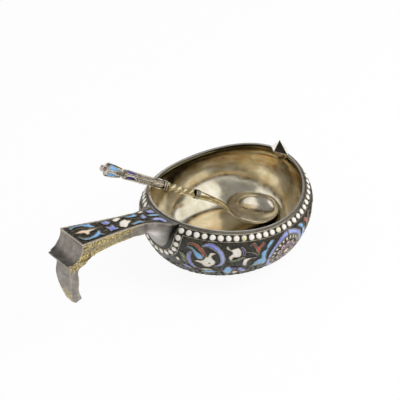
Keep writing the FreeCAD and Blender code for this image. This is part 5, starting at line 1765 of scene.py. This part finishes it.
collar_at = neck_length
twist_at = collar_at + lower_collar_length
upper_collar_at = twist_at + twist_length
upper_stem_at = upper_collar_at + upper_collar_length
finial_at = upper_stem_at + upper_stem_length
knob_at = finial_at + finial_length


def collar_piece(name, start, length, rings, node):
    """Round rings side by side, with painted shade in the grooves between them."""
    steps = 11
    share = (np.arange(rings * steps) % steps + 0.5) / steps
    stations = start + length / rings * (np.arange(rings * steps) // steps + share)
    round_share = np.sin(math.pi * share) ** 0.6
    ring = length / rings / 2
    made = turned_rod(stations, collar_radius + collar_swell - ring * 1.2 * (1 - round_share), 36)
    spoon_piece(name, made, spoon_silver, [node], 60, np.repeat(round_share ** 3, 36))


collar_piece("spoon_ringed_collar", collar_at, lower_collar_length, 3, "spoon_lower_collar")
collar_piece("spoon_upper_ring", upper_collar_at, upper_collar_length, 2, "spoon_upper_collar")


def twisted_mesh():
    """Two thick strands laid round each other."""
    sheaf = Sheaf()
    turns = 2.3
    count = 120
    share = np.linspace(0, 1, count)
    stations = twist_at + twist_length * share
    for strand in range(2):
        angle = full_turn * (turns * share + strand / 2)
        path = on_stem(stations, angle, np.full(count, twist_radius * 0.5))
        axis = on_stem(stations, angle, np.zeros(count))
        sides = 18
        points, faces = tube(path, unit(path - axis), strand_radius, sides)
        # Painted shade on the inward side of each strand, where the strands meet
        outward = np.tile(np.cos(full_turn * np.arange(sides) / sides), count)
        sheaf.add(points, faces, 0.5, np.clip(0.7 + 0.7 * outward, 0, 1))
    return sheaf


piece("spoon_rope_stem", twisted_mesh(), spoon_gold, "spoon", ["spoon_twisted_stem"])


def facet_shape(angle):
    """A softened square with flat sides."""
    return 1 / (np.abs(np.cos(angle)) ** 3.2 + np.abs(np.sin(angle)) ** 3.2) ** (1 / 3.2)


def stem_profile(station):
    share = (station - upper_stem_at) / upper_stem_length
    return upper_stem_radius + (upper_stem_end_radius - upper_stem_radius) * share


stations = np.linspace(upper_stem_at, finial_at, 24)
spoon_piece("spoon_faceted_stem",
            turned_rod(stations, stem_profile(stations) * facet_radius_share, 48, facet_shape),
            spoon_dark, ["spoon_upper_stem"])


def on_facet(quarter):
    """Placing on one flat side of the upper stem: x along it, y across."""
    def place(flat, offset):
        flat = np.asarray(flat, float)
        radius = stem_profile(upper_stem_at + flat[:, 0]) * facet_radius_share
        angle = quarter * math.pi / 2 + np.arctan2(flat[:, 1], radius)
        return on_stem(upper_stem_at + flat[:, 0], angle, np.hypot(flat[:, 1], radius) + offset)
    return place


# Drawings on one side of the upper stem, in millimetres: along it and across it
lower_frame = [(0.5, -1.15), (0.5, 1.15), (3.4, 1.2), (5.4, 0.62), (6.2, 0.0), (5.4, -0.62), (3.4, -1.2)]
upper_frame = [(14.2, 0.0), (15.4, 0.75), (17.6, 1.1), (19.6, 0.9), (20.6, 0.0), (19.6, -0.9), (17.6, -1.1),
               (15.4, -0.75)]
blue_tear = [(15.0, 0.0), (16.2, 0.5), (17.8, 0.75), (19.2, 0.6), (19.9, 0.0), (19.2, -0.6), (17.8, -0.75),
             (16.2, -0.5)]
stem_curl_start = 7.0
stem_curl_pitch = 0.62
stem_curl_size = 0.42
stem_edge_inset = 0.2
stem_edge_reach = 1.38
stem_edge_radius = 0.15
stem_edge_lift = 0.02
stem_tear_base = 0.05


def stem_filigree():
    """Framing wires, arches, curls and one dark blue tear on each side of the upper stem."""
    wires = Sheaf()
    tears = Sheaf()
    for quarter in range(4):
        place = on_facet(quarter)
        for outline in (lower_frame, upper_frame):
            wires.add(*cloison(smooth_loop(outline, 5), place, stem_wire_radius, 0.0))
        tear = smooth_loop(blue_tear, 5)
        tears.add(*enamel_slab(tear, place, fine_spacing, overlay_rise, stem_tear_base))
        for index in range(11):
            along = stem_curl_start + index * stem_curl_pitch
            hand = 1 if index % 2 else -1
            x, y = spiral(stem_curl_size, 1.2, 0.2, 18, hand=hand)
            line = np.stack([along + x, stem_curl_size * hand + y], axis=1)
            wires.add(*wire_on(place, line, curl_wire_radius, curl_wire_radius, 5))
        for edge in (-1, 1):
            run = np.linspace(stem_edge_inset, upper_stem_length - stem_edge_inset, 30)
            line = np.stack([run, np.full(30, stem_edge_reach * edge)], axis=1)
            wires.add(*wire_on(place, line, stem_edge_lift, stem_edge_radius))
    piece("spoon_stem_filigree", wires, spoon_silver, "spoon")
    piece("spoon_stem_tears", tears, deep_blue_enamel, "spoon")


stem_filigree()


def finial_radius(station):
    """The flaring finial: narrow at the stem, widest near its mouth, drawn in at the lip."""
    share = np.clip((station - finial_at) / finial_length, 0, 1)
    root = upper_stem_end_radius * 0.86
    return root + (finial_mouth_radius - root) * np.sin(share * 2.0) ** 1.3


# One enamel tear on the finial, in millimetres: along it and across it
finial_tear = [(1.0, 0.0), (3.2, 0.42), (5.6, 0.95), (7.4, 1.12), (8.5, 0.62), (8.8, 0.0), (8.5, -0.62),
               (7.4, -1.12), (5.6, -0.95), (3.2, -0.42)]


def finial_pieces():
    flare = np.linspace(finial_at, knob_at - finial_lip, 22)
    stations = np.concatenate([flare, [knob_at, knob_at + finial_close]])
    radii = finial_radius(stations)
    radii[-2] *= 0.88
    radii[-1] *= 0.5
    rod = turned_rod(stations, radii, 48, lambda angle: 1 + 0.04 * np.cos(6 * angle))
    spoon_piece("spoon_tulip_finial", rod, spoon_dark, ["spoon_finial"])
    cells = Sheaf()
    wires = Sheaf()
    count = 6
    for index in range(count):
        middle = full_turn * index / count

        def place(flat, offset):
            flat = np.asarray(flat, float)
            station = finial_at + flat[:, 0]
            radius = finial_radius(station) * 1.03
            return on_stem(station, middle + flat[:, 1] / radius, radius + offset)

        tear = smooth_loop(finial_tear, 5)
        cells.add(*enamel_slab(tear, place, finial_cell_spacing, overlay_rise, finial_cell_base))
        wires.add(*cloison(tear, place, finial_wire_radius, 0.0))
    piece("spoon_finial_tears", cells, blue_enamel, "spoon", ["spoon_finial_cells"])
    piece("spoon_finial_wires", wires, spoon_silver, "spoon")


finial_pieces()
share = np.linspace(0, 1, 16)
knob_stations = knob_at + knob_length * share
knob_round = np.sqrt(np.clip(1 - ((share - 0.62) / 0.4) ** 2, 0.02, 1))
knob_radii = np.where(share < 0.3, knob_neck_radius, knob_radius * knob_round)
spoon_piece("spoon_knob", turned_rod(knob_stations, knob_radii, 24), spoon_dark,
            ["spoon_end_knob"])


# Studio: a white floor that keeps the shadow, soft light, and the photograph's camera, all in metres

floor_half_width = 4.0

def highest(tree, *values):
    """The highest of some outputs."""
    top = values[0]
    for value in values[1:]:
        top = add_node(tree, "Math", {0: top, 1: value}, operation="MAXIMUM").outputs["Value"]
    return top


def white_floor():
    """White to the camera and to mirrors, and matt under the lamps, so that it keeps the shadow."""
    material = bpy.data.materials.new("white_floor")
    material.use_nodes = True
    tree = material.node_tree
    diffuse = tree.nodes["Principled BSDF"]
    looks = (("Base Color", (0.86, 0.86, 0.86, 1)), ("Roughness", 0.9), ("Specular IOR Level", 0.1))
    for label, value in looks:
        diffuse.inputs[label].default_value = value
    glow = add_node(tree, "Emission", {"Strength": 1.0})
    path = tree.nodes.new("ShaderNodeLightPath")
    seen = highest(tree, *[path.outputs[f"Is {kind} Ray"] for kind in ("Camera", "Glossy", "Transmission")])
    share = add_node(tree, "Math", {0: seen, 1: 0.93}, operation="MULTIPLY")
    blend = add_node(tree, "MixShader", {"Fac": share.outputs["Value"], 1: diffuse.outputs["BSDF"],
                                         2: glow.outputs["Emission"]})
    tree.links.new(blend.outputs["Shader"], tree.nodes["Material Output"].inputs["Surface"])
    return material


def floor():
    signs = ((-1, -1), (1, -1), (1, 1), (-1, 1))
    corners = [(x * floor_half_width, y * floor_half_width, 0) for x, y in signs]
    mesh = bpy.data.meshes.new("floor")
    mesh.from_pydata(corners, [], [(0, 1, 2, 3)])
    mesh.materials.append(white_floor())
    made = add_object("floor", mesh)


floor()


# The soft boxes as polished metal shows them: azimuth, elevation, half their width and their soft
# border, in degrees
soft_box_places = [(-48, 48, 33, 4), (-78, 38, 30, 5), (146, 27, 22, 12)]


def direction_to(azimuth, elevation):
    turn = math.radians(azimuth)
    rise = math.radians(elevation)
    return math.cos(turn) * math.cos(rise), math.sin(turn) * math.cos(rise), math.sin(rise)


def mirrored_box(tree, direction, azimuth, elevation, reach, fade):
    """One inside a round patch of the sky, and none outside it."""
    facing = add_node(tree, "VectorMath", {0: direction, 1: direction_to(azimuth, elevation)},
                      operation="DOT_PRODUCT")
    patch = {"From Min": math.cos(math.radians(reach + fade)), "From Max": math.cos(math.radians(reach)),
             "Value": facing.outputs["Value"]}
    return add_node(tree, "MapRange", patch, interpolation_type="SMOOTHSTEP").outputs["Result"]


def studio_world():
    """White near the horizon, where the backdrop is, and dimmer overhead between the soft boxes."""
    world = bpy.data.worlds.new("studio")
    bpy.context.scene.world = world
    world.use_nodes = True
    tree = world.node_tree
    tree.nodes.clear()
    direction = tree.nodes.new("ShaderNodeTexCoord").outputs["Generated"]
    split = add_node(tree, "SeparateXYZ", {"Vector": direction})
    dimming = {"From Min": 0.1, "From Max": 0.5, "To Min": 1.0, "To Max": 0.26, "Value": split.outputs["Z"]}
    shown = add_node(tree, "MapRange", dimming, interpolation_type="SMOOTHSTEP").outputs["Result"]
    for place in soft_box_places:
        shown = highest(tree, shown, mirrored_box(tree, direction, *place))
    path = tree.nodes.new("ShaderNodeLightPath")
    glossy = add_node(tree, "Mix", {0: path.outputs["Is Glossy Ray"], 2: 0.62, 3: shown}, data_type="FLOAT")
    straight = highest(tree, path.outputs["Is Camera Ray"], path.outputs["Is Transmission Ray"])
    final = add_node(tree, "Mix", {0: straight, 2: glossy.outputs[0], 3: 1.0}, data_type="FLOAT")
    background = add_node(tree, "Background", {"Color": (1, 1, 1, 1), "Strength": final.outputs[0]})
    add_node(tree, "OutputWorld", {"Surface": background.outputs["Background"]})


studio_world()


# Each soft box: its azimuth and elevation in degrees, its distance, width and height, and its watts
soft_lights = [("key_soft_box", -52, 48, 0.75, 0.5, 0.42, 3.4),
               ("low_side_box", 155, 12, 0.9, 0.5, 0.3, 1.4)]
lamp_aim_height = 0.02


def soft_light(name, azimuth, elevation, distance, width, height, power):
    """A soft box aimed at the bowl, its place given by a direction."""
    light = bpy.data.lights.new(name, "AREA")
    light.shape = "RECTANGLE"
    light.size = width
    light.size_y = height
    light.energy = power
    lamp = add_object(name, light)
    away = Vector(direction_to(azimuth, elevation))
    lamp.location = away * distance + Vector((0, 0, lamp_aim_height))
    lamp.rotation_euler = away.to_track_quat("Z", "Y").to_euler()
    lamp.visible_glossy = False


for lamp_values in soft_lights:
    soft_light(*lamp_values)


def photograph_camera():
    lens = bpy.data.cameras.new("camera")
    lens.sensor_fit = "HORIZONTAL"
    lens.sensor_width = sensor_width
    lens.lens = focal_pixels * sensor_width / image_pixels
    lens.clip_start = nearest_seen * MM
    made = add_object("camera", lens)
    back = Vector((math.sin(camera_azimuth) * math.cos(camera_elevation),
                   -math.cos(camera_azimuth) * math.cos(camera_elevation), math.sin(camera_elevation)))
    right = Vector((math.cos(camera_azimuth), math.sin(camera_azimuth), 0))
    up = back.cross(right)
    turned = Matrix((right, up, back)).transposed().to_4x4()
    turned.translation = (Vector(camera_target) + back * camera_distance) * MM
    made.matrix_world = turned
    bpy.context.scene.camera = made


photograph_camera()
bpy.context.scene.view_settings.view_transform = "Standard"
